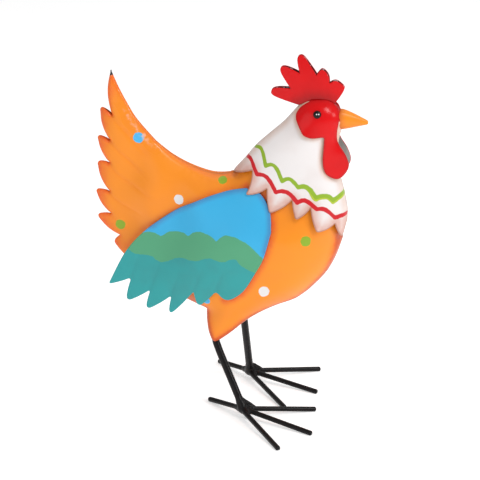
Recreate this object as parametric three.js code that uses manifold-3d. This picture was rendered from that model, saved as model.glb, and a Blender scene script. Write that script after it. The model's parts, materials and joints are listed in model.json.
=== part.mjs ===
// A garden rooster of painted sheet steel: domed half shells joined in pairs along a middle seam,
// with round rods for the legs and toes. Millimetres; x runs towards the beak, z up from the ground,
// and the seam lies in the plane y = 0 of the drawing. The bird's right side is towards -y.
import * as THREE from "three";
import { mergeVertices } from "three/addons/utils/BufferGeometryUtils.js";
import Module from "manifold-3d";

// Sheet and seams
const SHEET = 0.8;
const SEAM_GAP = 0.2; // from the middle plane to each half's edge
const CLEARANCE = 0.45; // between a plate and the shell that it lies on
const WING_CLEARANCE = 1.5; // along y, where the wing lies on sloping parts of the body

// Rods and welds
const LEG_ROD = 6;
const TOE_ROD = 4;
const ROD_SIDES = 10;
const BEND_STEP = 1.4; // length of a bent rod's facets, in diameters
const BEAD = [7, 7, 5.2]; // half axes of the weld bead at each foot
const BEAD_SIDES = 12;
const BEAD_RINGS = 8;
const FOOT = 8.5; // height of the bead's middle
const TOE_ROOT_DROP = 1.6; // the toes leave the bead this far below its middle
const TOE_TIP_HEIGHT = 1.6; // less than the rod's radius, so each tip is ground flat
const WELD_GAP = 0.3;

// Side outline of the bird as (x, z), in the order tail, underside, breast, head, back
const TAIL_TIPS = [
  [-107, 289], [-117, 258.5], [-119.5, 233.5], [-120.5, 210.5], [-122, 185.5], [-121.5, 163], [-108.5, 140],
];
const TAIL_NOTCHES = [
  [-108, 253.5], [-110.5, 231], [-111.5, 211], [-112, 185.5], [-111.5, 165.5], [-104, 146],
];
const UNDERSIDE = [[-108.5, 140], [-100, 129.5], [-82, 113.5], [-64, 102], [-44, 95], [-26.5, 90]];
const THIGH_BACK = [[-26.5, 90], [-26, 82], [-24, 71], [-20.5, 62.5]];
const THIGH_TIP = [-18.2, 60.8];
const BELLY = [[-14.5, 63], [-5, 70.5], [8, 79.5], [20.5, 86], [33, 91.5], [49, 98], [59.5, 106]];
const BREAST = [[59.5, 106], [68.5, 115.5], [76, 125], [81.5, 136], [85.5, 148], [88.5, 160], [90.5, 170.5]];
const THROAT = [[90.5, 170.5], [90.7, 179.5], [89, 191.5], [86.5, 201.5], [84, 211], [82.3, 221.5]];
const CHIN = [[82.3, 221.5], [82.2, 232], [83.3, 241.5], [85, 249]];
const CROWN = [[84, 266], [79, 270], [73, 272.5], [65, 273.5], [56, 271.5], [46, 264.5]];
const NAPE = [[46, 264.5], [37, 254], [25, 243], [13.5, 232], [4, 220], [-5, 209.5]];
const SADDLE = [[-5, 209.5], [-12, 206.5], [-25, 207], [-42, 213], [-57.5, 221.5], [-71, 232]];
const TAIL_BACK = [[-71, 232], [-86.5, 249.5], [-94.5, 262.5], [-101.5, 276.5], [-107, 289]];
const TAIL_BOW = 0.1; // bulge of a feather's long edge, as a share of its length

// Collar: the toothed lower edge of the white neck, from the back of the bird to its breast
const COLLAR_TIPS = [[-5, 209.5], [9, 196.5], [29, 182.5], [51, 178], [68.5, 168], [87.5, 157]];
const COLLAR_NOTCHES = [[11.5, 214], [26, 202], [47, 193.5], [62.5, 187], [82, 172]];
const COLLAR_BOW = 0.08;
const COLLAR_LINES = [[201.5, -0.5], [206, -1]]; // two lines through the teeth: height at x = 0 and slope
const TUCK = 3; // the body narrows by this much inside the collar, over a run that is longer on the flanks
const TUCK_RUN = [3, 22];
const FLARE = 1.2; // the teeth stand out by this much, fading at the given heights over the line of the teeth
const FLARE_FADE = [3, 24];
const FLANK_DEPTH = 18; // from here outwards the shell counts as flank rather than seam
const STUMP = [[84, 188], [68, 206], [40, 216], [12, 229]]; // upper edge of the body, hidden in the neck

// Half depth of the bird and width of its rounded edge, as [x, z, depth, edge]
const DEPTHS = [
  [-104, 275, 5, 12], [-98, 245, 8, 20], [-105, 205, 5.5, 20], [-105, 160, 4, 18], [-65, 185, 17, 32],
  [-15, 185, 29, 40], [0, 150, 36, 52], [50, 150, 36, 50], [25, 110, 35, 44], [-15, 85, 31, 28],
  [45, 200, 25, 36], [60, 232, 16.5, 27], [66, 257, 15.5, 20],
];
const DEPTH_REACH = 12;
// Places where the two halves stand apart at the edge, as [x, z, half gap, reach]: thigh, tail tip, beak
const OPENINGS = [[-18.5, 62, 24.5, 34], [-107, 289, 3.5, 8], [85, 257.5, 6, 8]];

// Wing: a plate that hugs the body at its top and front, with free feathers behind and below
const WING_TIPS = [[-109.5, 108.5], [-93.5, 96], [-76, 90], [-56, 87.5], [-31, 96.5], [-8, 103.5]];
const WING_NOTCHES = [[-91.5, 114], [-74.5, 105], [-56, 101.5], [-36, 108], [-16.5, 110]];
const WING_FRONT = [[-8, 103.5], [0, 107], [8.5, 115], [17.5, 130.5], [24.5, 144.5], [30.5, 167]];
const WING_SHOULDER = [[30.5, 167], [29.7, 182], [27, 193], [21.5, 201], [10, 202.5]];
const WING_TOP = [
  [10, 202.5], [-9.5, 197.5], [-32, 188], [-55.5, 174.5], [-79, 157], [-95.5, 137.5], [-109.5, 108.5],
];
const WING_FREE = [42.4, 0.084, -0.122]; // distance of the free feathers from the seam: base, per x, per z
const WING_BLEND = 2;
const WING_BOW = 0.02;

// Face plate with its wattle, and the comb
const FACE = [
  [60.5, 272.5], [54, 269], [49.7, 264.5], [48.5, 260], [50, 256], [52.5, 251.5], [55.5, 247], [62, 245],
  [71, 245.5], [71.7, 241], [71, 226], [72, 218], [75, 212.5], [82.5, 209], [89, 212.5], [92.7, 220],
  [90, 229], [83.2, 238.5], [81.5, 244], [81.5, 250], [83, 257], [82.5, 264.5], [79.8, 269.5], [72, 272.8],
];
const FACE_LIFT = 1.5;
const WATTLE_OUT = 14.3; // distance of the wattle from the seam at its back edge, and its turn inwards
const WATTLE_TURN = 0.1;
const WATTLE_BACK = 71;
const WATTLE_BLEND = [246, 234]; // heights between which the plate leaves the head
const COMB_BASE = [[49.5, 269.3], [57, 273.8], [65, 275.4], [73, 274.4], [79.5, 272.2]];
const COMB_FINGERS = [
  [84, 283.7, 3], [69.2, 295.2, 4.2], [50.8, 307.6, 3.2], [37.2, 297.6, 3.6], [30, 279, 3.6],
];
const COMB_NOTCHES = [[73.5, 288], [63.5, 295], [50.3, 295.5], [43, 282.5]];
const COMB_DEPTH = 4.5;
const COMB_EDGE = 7;
const COMB_SHELL = [ // the fingertips' envelope, drawn on below the base where the comb is open
  [45, 255], [29, 273], [25.5, 279], [30, 297], [37, 302.5], [47.5, 312], [52.5, 312.5], [73, 300.5],
  [87.5, 285], [88, 280], [86, 255],
];

// Beak and eyes
const ROUND_SIDES = 12;
const BEAK_BASE = [85.3, 257.4];
const BEAK_LENGTH = 21.5;
const BEAK_PROFILE = [[8.7, 0], [8, 5], [6.4, 11], [4, 16.5], [2.2, 20.3], [1.2, 21.5]];
const BEAK_FLAT = 0.85; // its width as a share of its height
const BEAK_DROP = 2.2; // the tip lies this much lower than the base
const EYE = [66, 264.7];
const EYE_RADIUS = 3.3;
const EYE_HEIGHT = 2.3;

// Legs from the inside of the shell to the foot, and the toes' directions and lengths
const LEGS = {
  right: [[-14, -22, 86], [-16.5, -21.6, 73], [-18.6, -19.5, 61.5], [-13.9, -23.6, 51.5], [8.2, -40, FOOT]],
  left: [[1.2, 22, 99], [1.6, 13.6, 87], [1.8, 8.8, 75], [2.1, 13.6, 64.5], [3.4, 40, FOOT]],
};
const TOES = { 1: [22, 64], 2: [-21, 66], 3: [-58, 68.5], back: [141, 43] };

const PAINT = {
  orange: new THREE.MeshStandardMaterial({ color: "#f8993a", roughness: 0.4, metalness: 0 }),
  white: new THREE.MeshStandardMaterial({ color: "#efe9e8", roughness: 0.4, metalness: 0 }),
  red: new THREE.MeshStandardMaterial({ color: "#da2027", roughness: 0.35, metalness: 0 }),
  teal: new THREE.MeshStandardMaterial({ color: "#479fae", roughness: 0.4, metalness: 0 }),
  beak: new THREE.MeshStandardMaterial({ color: "#fb9b37", roughness: 0.4, metalness: 0 }),
  black: new THREE.MeshStandardMaterial({ color: "#211f20", roughness: 0.35, metalness: 0 }),
};

const clamp01 = (t) => Math.min(1, Math.max(0, t));
const vec2 = ([x, z]) => new THREE.Vector2(x, z);

// Curves of an outline, each without its last point

function smooth(points, step) {
  const curve = new THREE.SplineCurve(points.map(vec2));
  const count = Math.max(2, Math.round(curve.getLength() / step));
  return curve.getSpacedPoints(count).slice(0, -1);
}

function bowed(from, to, bow, step) {
  const a = vec2(from);
  const b = vec2(to);
  const chord = b.clone().sub(a);
  const outwards = new THREE.Vector2(chord.y, -chord.x).multiplyScalar(2 * bow);
  const middle = a.clone().lerp(b, 0.5).add(outwards);
  const count = Math.max(1, Math.round(chord.length() / step));
  return new THREE.QuadraticBezierCurve(a, middle, b).getPoints(count).slice(0, -1);
}

// A row of pressed feathers: from each tip a bowed long edge to the notch, then out to the next tip.
function feathers(tips, notches, bow, step) {
  return notches.flatMap((notch, i) => [
    ...bowed(tips[i], notch, bow, step),
    ...bowed(notch, tips[i + 1], bow / 2, step),
  ]);
}

// A rounded finger between two notches, with its tip's middle and radius.
function finger(from, [x, z, radius], to, step) {
  const tip = new THREE.Vector2(x, z);
  const root = vec2(from).lerp(vec2(to), 0.5);
  const along = tip.clone().sub(root).normalize().multiplyScalar(radius);
  const side = new THREE.Vector2(along.y, -along.x);
  const right = tip.clone().add(side);
  const left = tip.clone().sub(side);
  const end = tip.clone().add(along);
  const around = [right, end, left].map((p) => [p.x, p.y]);
  return smooth([from, ...around, to], step);
}

function distanceTo(outline, p) {
  let least = Infinity;
  outline.forEach((a, i) => {
    const b = outline[(i + 1) % outline.length];
    const ab = b.clone().sub(a);
    const t = clamp01(p.clone().sub(a).dot(ab) / ab.lengthSq());
    least = Math.min(least, p.distanceTo(a.clone().addScaledVector(ab, t)));
  });
  return least;
}

function isInside(outline, p) {
  let inside = false;
  outline.forEach((a, i) => {
    const b = outline[(i + 1) % outline.length];
    const crosses = a.y > p.y !== b.y > p.y;
    if (crosses && p.x < a.x + ((p.y - a.y) * (b.x - a.x)) / (b.y - a.y)) inside = !inside;
  });
  return inside;
}

const roundEdge = (share) => Math.sqrt(1 - (1 - clamp01(share)) ** 2);

// The bird's own dome

const SEAM_STEP = 4;
const seam = [
  ...TAIL_TIPS.slice(0, -1).map(vec2),
  ...[UNDERSIDE, THIGH_BACK].flatMap((line) => smooth(line, SEAM_STEP)),
  vec2(THIGH_BACK.at(-1)),
  vec2(THIGH_TIP),
  ...[BELLY, BREAST, THROAT, CHIN].flatMap((line) => smooth(line, SEAM_STEP)),
  vec2(CHIN.at(-1)),
  ...[CROWN, NAPE, SADDLE, TAIL_BACK].flatMap((line) => smooth(line, SEAM_STEP)),
];

function depthAt(x, z) {
  let total = 0;
  let depth = 0;
  let edge = 0;
  for (const [sx, sz, stationDepth, stationEdge] of DEPTHS) {
    const weight = 1 / ((x - sx) ** 2 + (z - sz) ** 2 + DEPTH_REACH ** 2) ** 2;
    total += weight;
    depth += weight * stationDepth;
    edge += weight * stationEdge;
  }
  return [depth / total, edge / total];
}

function dome(x, z) {
  const p = new THREE.Vector2(x, z);
  const [depth, edge] = depthAt(x, z);
  const inset = isInside(seam, p) ? distanceTo(seam, p) : 0;
  let gap = SEAM_GAP;
  for (const [gx, gz, half, reach] of OPENINGS)
    gap += half * Math.exp(-((x - gx) ** 2 + (z - gz) ** 2) / reach ** 2);
  return gap + Math.max(0, depth - gap) * roundEdge(inset / edge);
}

const aboveCollar = (x, z) =>
  Math.min(...COLLAR_LINES.map(([level, slope]) => (z - level - slope * x) / Math.hypot(1, slope)));
const flank = (x, z) => clamp01(dome(x, z) / FLANK_DEPTH);
const bodyTuck = (x, z) => {
  const start = -TUCK_RUN[0] - TUCK_RUN[1] * flank(x, z);
  return TUCK * THREE.MathUtils.smoothstep(aboveCollar(x, z), start, 1);
};
const collarFlare = (x, z) =>
  FLARE * flank(x, z) * (1 - THREE.MathUtils.smoothstep(aboveCollar(x, z), ...FLARE_FADE));

function wingHeight(x, z) {
  const hugging = dome(x, z) - bodyTuck(x, z) + WING_CLEARANCE + SHEET;
  const [base, perX, perZ] = WING_FREE;
  const free = base + perX * x + perZ * z;
  return WING_BLEND * Math.log(Math.exp(hugging / WING_BLEND) + Math.exp(free / WING_BLEND));
}

function faceHeight(x, z) {
  const wattle = WATTLE_OUT - WATTLE_TURN * (x - WATTLE_BACK);
  const leaving = THREE.MathUtils.smoothstep(-z, -WATTLE_BLEND[0], -WATTLE_BLEND[1]);
  return THREE.MathUtils.lerp(dome(x, z), wattle, leaving);
}

const combShell = COMB_SHELL.map(vec2);
function combHeight(x, z) {
  const p = new THREE.Vector2(x, z);
  const inset = isInside(combShell, p) ? distanceTo(combShell, p) : 0;
  return SEAM_GAP + (COMB_DEPTH - SEAM_GAP) * roundEdge(inset / COMB_EDGE);
}

// Pressed sheets

function circleOf(points, a, b, c) {
  const [p, q, r] = [points[a], points[b], points[c]];
  const d = 2 * (p.x * (q.y - r.y) + q.x * (r.y - p.y) + r.x * (p.y - q.y));
  const [pp, qq, rr] = [p.lengthSq(), q.lengthSq(), r.lengthSq()];
  const x = (pp * (q.y - r.y) + qq * (r.y - p.y) + rr * (p.y - q.y)) / d;
  const y = (pp * (r.x - q.x) + qq * (p.x - r.x) + rr * (q.x - p.x)) / d;
  const centre = new THREE.Vector2(x, y);
  return { corners: [a, b, c], centre, reach: centre.distanceToSquared(p) };
}

// Delaunay triangles of the points, counterclockwise. Each new point replaces the triangles whose circles
// hold it.
function triangulate(points) {
  const far = 1e4;
  const around = [[-far, -far], [far, -far], [0, far]].map(vec2);
  const all = [...points, ...around];
  const count = points.length;
  let triangles = [circleOf(all, count, count + 1, count + 2)];
  points.forEach((p, i) => {
    const border = new Map();
    triangles = triangles.filter(({ corners, centre, reach }) => {
      if (p.distanceToSquared(centre) >= reach) return true;
      corners.forEach((a, k) => {
        const b = corners[(k + 1) % 3];
        if (!border.delete(b + " " + a)) border.set(a + " " + b, [a, b]);
      });
      return false;
    });
    for (const [a, b] of border.values()) triangles.push(circleOf(all, a, b, i));
  });
  return triangles.map((t) => t.corners).filter((corners) => corners.every((c) => c < count));
}

// A row of points just inside an outline, where a sheet turns over at its edge.
function rowInside(outline, inset) {
  return outline
    .map((p, i) => {
      const along = outline[(i + 1) % outline.length].clone().sub(outline.at(i - 1)).normalize();
      return new THREE.Vector2(p.x - along.y * inset, p.y + along.x * inset);
    })
    .filter((p) => isInside(outline, p) && distanceTo(outline, p) > 0.8 * inset);
}

// Points inside an outline on a staggered grid, clear of its edge.
function gridInside(outline, step, margin) {
  const box = new THREE.Box2().setFromPoints(outline);
  const points = [];
  const rise = step * Math.sin(Math.PI / 3);
  for (let row = 1, z = box.min.y + rise; z < box.max.y; z += rise, row++)
    for (let x = box.min.x + (row % 2 ? step / 2 : step); x < box.max.x; x += step) {
      const p = new THREE.Vector2(x, z);
      if (isInside(outline, p) && distanceTo(outline, p) > margin) points.push(p);
    }
  return points;
}

// A sheet cut to an outline and pressed to a height over the middle plane, on the side of -y. It is lifted
// off that form along its normals, and its thickness lies inside.
function pressedSheet({ outline, height, lift = () => 0, step, rolledEdge = 0 }) {
  const row = rolledEdge ? rowInside(outline, rolledEdge) : [];
  const points = [...outline, ...row, ...gridInside(outline, step, rolledEdge + 0.55 * step)];
  const flat = triangulate(points).filter((corners) => {
    const middle = new THREE.Vector2();
    corners.forEach((c) => middle.addScaledVector(points[c], 1 / 3));
    return isInside(outline, middle);
  });
  const form = new THREE.BufferGeometry().setFromPoints(
    points.map(({ x, y: z }) => new THREE.Vector3(x, -height(x, z), z)),
  );
  form.setIndex(flat.flat());
  form.computeVertexNormals();
  const skins = [0, -SHEET].map((inwards) =>
    points.map(({ x, y: z }, i) => {
      const normal = new THREE.Vector3().fromBufferAttribute(form.attributes.normal, i);
      const vertex = new THREE.Vector3().fromBufferAttribute(form.attributes.position, i);
      vertex.addScaledVector(normal, lift(x, z) + inwards);
      vertex.y = Math.min(vertex.y, inwards < 0 ? -SEAM_GAP * 0.8 : -SEAM_GAP);
      return vertex;
    }),
  );
  const inner = points.length;
  const faces = [];
  const border = new Map();
  for (const [a, b, c] of flat) {
    faces.push(a, b, c, c + inner, b + inner, a + inner);
    for (const [p, q] of [[a, b], [b, c], [c, a]])
      if (!border.delete(q + " " + p)) border.set(p + " " + q, [p, q]);
  }
  for (const [p, q] of border.values()) faces.push(q, p, p + inner, q, p + inner, q + inner);
  return new THREE.BufferGeometry().setFromPoints(skins.flat()).setIndex(faces);
}

// Solids that are joined or cut

const wasm = await Module();
wasm.setup();

function solid(geometry) {
  const bare = geometry.clone();
  bare.deleteAttribute("normal");
  bare.deleteAttribute("uv");
  const merged = mergeVertices(bare, 1e-4);
  return new wasm.Manifold(
    new wasm.Mesh({
      numProp: 3,
      vertProperties: new Float32Array(merged.attributes.position.array),
      triVerts: new Uint32Array(merged.index.array),
    }),
  );
}

function geometryOf(body) {
  const { vertProperties, triVerts } = body.getMesh();
  return new THREE.BufferGeometry()
    .setAttribute("position", new THREE.BufferAttribute(vertProperties, 3))
    .setIndex(new THREE.BufferAttribute(triVerts, 1));
}

function rod(points, diameter) {
  const section = new THREE.Shape(
    Array.from({ length: ROD_SIDES }, (_, i) => {
      const angle = (2 * Math.PI * i) / ROD_SIDES;
      return new THREE.Vector2(Math.cos(angle), Math.sin(angle)).multiplyScalar(diameter / 2);
    }),
  );
  const bent = points.length > 2;
  const path = bent ? new THREE.CatmullRomCurve3(points) : new THREE.LineCurve3(...points);
  const steps = bent ? Math.round(path.getLength() / (BEND_STEP * diameter)) : 1;
  return new THREE.ExtrudeGeometry(section, { extrudePath: path, steps, bevelEnabled: false });
}

function weldBead(foot, growth) {
  const [a, b, c] = BEAD.map((half) => half + growth);
  const ball = new THREE.SphereGeometry(1, BEAD_SIDES, BEAD_RINGS).rotateX(Math.PI / 2);
  return ball.scale(a, b, c).translate(...foot);
}

// Assembly

const bird = new THREE.Group();

function place(name, geometry, material) {
  const mesh = new THREE.Mesh(geometry, material);
  mesh.name = name;
  bird.add(mesh);
  return mesh;
}

function placePair(name, geometry, material) {
  place(name + "_right", geometry, material);
  place(name + "_left", geometry, material).scale.y = -1;
}

const BODY_EDGE = 6;
placePair(
  "body",
  pressedSheet({
    outline: [
      ...feathers(TAIL_TIPS, TAIL_NOTCHES, TAIL_BOW, BODY_EDGE),
      ...[UNDERSIDE, THIGH_BACK].flatMap((line) => smooth(line, BODY_EDGE)),
      vec2(THIGH_BACK.at(-1)),
      vec2(THIGH_TIP),
      ...[BELLY, BREAST, THROAT.slice(0, 2), [THROAT[1], ...STUMP], [STUMP.at(-1), NAPE.at(-3), NAPE.at(-2)]]
        .flatMap((line) => smooth(line, BODY_EDGE)),
      ...[NAPE.slice(-2), SADDLE, TAIL_BACK].flatMap((line) => smooth(line, BODY_EDGE)),
    ],
    height: dome,
    lift: (x, z) => -bodyTuck(x, z),
    step: 11,
    rolledEdge: 3,
  }),
  PAINT.orange,
);

const NECK_EDGE = 5;
placePair(
  "neck",
  pressedSheet({
    outline: [
      ...feathers(COLLAR_TIPS, COLLAR_NOTCHES, COLLAR_BOW, NECK_EDGE),
      vec2(COLLAR_TIPS.at(-1)),
      ...[THROAT, CHIN].flatMap((line) => smooth(line, NECK_EDGE)),
      ...bowed(CHIN.at(-1), CROWN[0], 0, NECK_EDGE),
      ...[CROWN, NAPE].flatMap((line) => smooth(line, NECK_EDGE)),
    ],
    height: dome,
    lift: collarFlare,
    step: 8.5,
    rolledEdge: 2.5,
  }),
  PAINT.white,
);

const WING_EDGE = 6;
placePair(
  "wing",
  pressedSheet({
    outline: [
      ...feathers(WING_TIPS, WING_NOTCHES, WING_BOW, WING_EDGE),
      ...[WING_FRONT, WING_SHOULDER, WING_TOP].flatMap((line) => smooth(line, WING_EDGE)),
    ],
    height: wingHeight,
    step: 11,
  }),
  PAINT.teal,
);

const FACE_EDGE = 3.5;
placePair(
  "face",
  pressedSheet({
    outline: smooth([...FACE, FACE[0]], FACE_EDGE),
    height: faceHeight,
    lift: () => FACE_LIFT,
    step: 4.6,
    rolledEdge: 2,
  }),
  PAINT.red,
);

const COMB_STEP = 3.5;
const combRoots = [COMB_BASE.at(-1), ...COMB_NOTCHES, COMB_BASE[0]];
placePair(
  "comb",
  pressedSheet({
    outline: [
      ...smooth(COMB_BASE, COMB_STEP),
      ...COMB_FINGERS.flatMap((tip, i) => finger(combRoots[i], tip, combRoots[i + 1], COMB_STEP)),
    ],
    height: combHeight,
    step: 5,
  }),
  PAINT.red,
);

const beak = new THREE.LatheGeometry([[0, 0], ...BEAK_PROFILE, [0, BEAK_LENGTH]].map(vec2), ROUND_SIDES)
  .applyMatrix4(new THREE.Matrix4().makeScale(1, 1, BEAK_FLAT))
  .rotateZ(-Math.PI / 2)
  .rotateX(Math.PI / 2)
  .applyMatrix4(new THREE.Matrix4().makeShear(0, -BEAK_DROP / BEAK_LENGTH, 0, 0, 0, 0))
  .translate(BEAK_BASE[0], 0, BEAK_BASE[1]);
place("beak", beak, PAINT.beak);

function eyeBead() {
  const profile = [[0, 0], [EYE_RADIUS, 0]];
  for (const turn of [0.25, 0.5, 0.75]) {
    const angle = (turn * Math.PI) / 2;
    profile.push([EYE_RADIUS * Math.cos(angle), EYE_HEIGHT * Math.sin(angle)]);
  }
  profile.push([0, EYE_HEIGHT]);
  const reach = 1;
  const [x, z] = EYE;
  const height = (dx, dz) => dome(x + dx, z + dz);
  const slopeX = (height(reach, 0) - height(-reach, 0)) / (2 * reach);
  const slopeZ = (height(0, reach) - height(0, -reach)) / (2 * reach);
  const normal = new THREE.Vector3(-slopeX, -1, -slopeZ).normalize();
  const turn = new THREE.Quaternion().setFromUnitVectors(new THREE.Vector3(0, 1, 0), normal);
  const seat = new THREE.Vector3(x, -height(0, 0), z).addScaledVector(normal, FACE_LIFT + CLEARANCE);
  return new THREE.LatheGeometry(profile.map(vec2), ROUND_SIDES).applyQuaternion(turn).translate(...seat);
}
placePair("eye", eyeBead(), PAINT.black);

const GROUND_WIDTH = 400;
const GROUND_DEPTH = 20;
const groundBlock = new THREE.BoxGeometry(GROUND_WIDTH, GROUND_WIDTH, GROUND_DEPTH);
const ground = solid(groundBlock.translate(0, 0, -GROUND_DEPTH / 2));
for (const [side, route] of Object.entries(LEGS)) {
  const line = route.map((p) => new THREE.Vector3(...p));
  const foot = line.at(-1);
  const leg = solid(rod(line, LEG_ROD)).add(solid(weldBead(foot, 0)));
  place("leg_" + side, geometryOf(leg), PAINT.black);
  const socket = solid(weldBead(foot, WELD_GAP)).add(solid(rod(line, LEG_ROD + 2 * WELD_GAP)));
  const root = foot.clone().setZ(foot.z - TOE_ROOT_DROP);
  for (const [toe, [heading, length]] of Object.entries(TOES)) {
    const angle = THREE.MathUtils.degToRad(heading);
    const reach = new THREE.Vector3(Math.cos(angle), Math.sin(angle), 0).multiplyScalar(length);
    const tip = root.clone().add(reach).setZ(TOE_TIP_HEIGHT);
    const toeRod = solid(rod([root, tip], TOE_ROD)).subtract(socket).subtract(ground);
    place(side + "_toe_" + toe, geometryOf(toeRod), PAINT.black);
  }
}

// The origin lies on the ground under the middle of the bird's box.
const box = new THREE.Box3().setFromObject(bird, true);
const middle = box.getCenter(new THREE.Vector3());
bird.position.set(-middle.x, -middle.y, -box.min.z);
const rooster = new THREE.Group();
rooster.add(bird);

export default rooster;
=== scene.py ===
# %% [markdown]
# # A painted sheet metal rooster
# The ornament is hollow. Thin steel sheet is pressed into right and left halves, the halves are
# joined along a seam in the middle, and legs and toes of round rod are welded on before the bird is
# painted by hand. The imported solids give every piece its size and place. They are faceted, so this
# lesson makes each sheet again with a fine mesh, where edges can be rounded, creases pressed and
# paint drawn sharply.

# %% Load the solids
import json
import math

import bpy
import numpy as np
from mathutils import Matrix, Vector, noise
from mathutils.bvhtree import BVHTree
from mathutils.geometry import delaunay_2d_cdt

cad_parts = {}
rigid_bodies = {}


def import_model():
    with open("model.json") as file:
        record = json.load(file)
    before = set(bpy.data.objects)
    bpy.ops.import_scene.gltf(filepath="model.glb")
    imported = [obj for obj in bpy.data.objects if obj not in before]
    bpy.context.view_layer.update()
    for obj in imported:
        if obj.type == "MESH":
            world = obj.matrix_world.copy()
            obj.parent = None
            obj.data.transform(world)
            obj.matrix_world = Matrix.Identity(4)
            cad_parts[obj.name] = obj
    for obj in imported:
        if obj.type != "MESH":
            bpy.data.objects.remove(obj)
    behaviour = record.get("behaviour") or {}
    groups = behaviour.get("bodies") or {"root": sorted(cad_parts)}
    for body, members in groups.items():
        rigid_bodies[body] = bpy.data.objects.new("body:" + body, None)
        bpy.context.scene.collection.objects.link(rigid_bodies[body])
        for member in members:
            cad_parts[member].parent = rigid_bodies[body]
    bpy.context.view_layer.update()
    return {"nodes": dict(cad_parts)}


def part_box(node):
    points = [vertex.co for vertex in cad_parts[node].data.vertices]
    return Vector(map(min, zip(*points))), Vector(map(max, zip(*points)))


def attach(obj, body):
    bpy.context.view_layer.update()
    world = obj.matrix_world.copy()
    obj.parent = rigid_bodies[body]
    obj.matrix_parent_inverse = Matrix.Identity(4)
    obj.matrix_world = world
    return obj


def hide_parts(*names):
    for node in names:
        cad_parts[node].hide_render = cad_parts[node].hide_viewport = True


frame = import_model()
print("solids:", len(frame["nodes"]))

# %% [markdown]
# ## The side drawing
# All sheets are cut from one side drawing of the bird, in millimetres: x runs towards the beak and
# z up from the ground. A third number, the depth, counts from the seam. Working in the drawing
# keeps the numbers readable. Two solids tell where the drawing lies in the frame: the beak gives x,
# and the seam runs midway between the eyes.

# %% Place of the drawing in the frame
MM = 0.001
BEAK_BASE = (85.3, 257.4)
seam_y = (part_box("eye_right")[0].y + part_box("eye_left")[1].y) / 2
drawing_origin = np.array([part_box("beak")[0].x - BEAK_BASE[0] * MM, seam_y, 0])


def in_frame(points):
    return np.asarray(points, float) * MM + drawing_origin


print("drawing origin, mm:", np.round(drawing_origin / MM, 2))

# %% [markdown]
# ## Lines of the drawing
# An outline could be drawn with Bezier curves by hand. Here three short functions do it, because
# they also work where no curve object is needed: a smooth line through a few points, a bowed line
# between two points, and a closed outline that joins such lines and rounds the corners between
# them, as a snipped sheet has.

# %% Smooth and bowed lines
EDGE_STEP = 1.2
CURVE_STEPS = 24


def run_along(line):
    return np.r_[0, np.cumsum(np.linalg.norm(np.diff(line, axis=0), axis=1))]


def at_runs(line, runs):
    along = run_along(line)
    return np.stack([np.interp(runs, along, column) for column in line.T], axis=1)


def spaced(line, step=EDGE_STEP):
    length = run_along(line)[-1]
    return at_runs(line, np.linspace(0, length, max(1, round(length / step)) + 1))


def smooth_line(points, step=EDGE_STEP):
    p = np.asarray(points, float)
    p = np.vstack([p[:1], p, p[-1:]])
    t = np.linspace(0, 1, CURVE_STEPS, endpoint=False)[:, None]
    parts = []
    for a, b, c, d in zip(p, p[1:], p[2:], p[3:]):
        rise = (c - a) / 2
        bend = a - 2.5 * b + 2 * c - d / 2
        turn = (3 * (b - c) + d - a) / 2
        parts.append(b + rise * t + bend * t**2 + turn * t**3)
    return spaced(np.vstack([*parts, p[-1:]]), step)


def bowed_line(start, end, bulge, step=EDGE_STEP):
    a, b = np.asarray(start, float), np.asarray(end, float)
    chord = b - a
    control = (a + b) / 2 + 2 * bulge * np.array([chord[1], -chord[0]])
    t = np.linspace(0, 1, CURVE_STEPS)[:, None]
    return spaced((1 - t) ** 2 * a + 2 * t * (1 - t) * control + t**2 * b, step)


print("lines have a point every", EDGE_STEP, "mm")

# %% Joined outlines
CORNER_POINTS = 5
LEAST_CUT = 0.1


def trimmed(line, at_start, at_end):
    along = run_along(line)
    first, last = at_start, along[-1] - at_end
    runs = along[(along > first + LEAST_CUT) & (along < last - LEAST_CUT)]
    return at_runs(line, np.r_[first, runs, last])


def joined(stretches, closed=True):
    """Joins (line, rounding) pairs; the corner at the end of each line is rounded over that length."""
    count = len(stretches)
    cuts = []
    for i, (line, rounding) in enumerate(stretches):
        before = stretches[i - 1][1] if closed or i else 0
        cuts.append(trimmed(line, before, rounding))
    t = np.linspace(0, 1, CORNER_POINTS + 2)[1:-1, None]
    parts = []
    for i, (line, rounding) in enumerate(stretches):
        parts.append(cuts[i][:-1])
        if not closed and i == count - 1:
            parts.append(cuts[i][-1:])
        elif rounding:
            a, corner, b = cuts[i][-1], line[-1], cuts[(i + 1) % count][0]
            parts.append(np.vstack([a, (1 - t) ** 2 * a + 2 * t * (1 - t) * corner + t**2 * b]))
    return np.vstack(parts)


print("a rounded corner has", CORNER_POINTS, "points between its ends")

# %% [markdown]
# ## Feathers
# Tail, collar and wing end in rows of snipped feathers. Each feather is a long bowed edge up to a
# notch and a short edge out to the next tip. Rounding a corner takes a little off it, so every
# corner is first drawn that much further out, and the finished tip lies where the real one does.
# Cutting the notches with Booleans would work too, but drawn into the outline they keep the mesh
# clean.

# %% Rows of feathers
POINT_LOSS = 0.42


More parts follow.
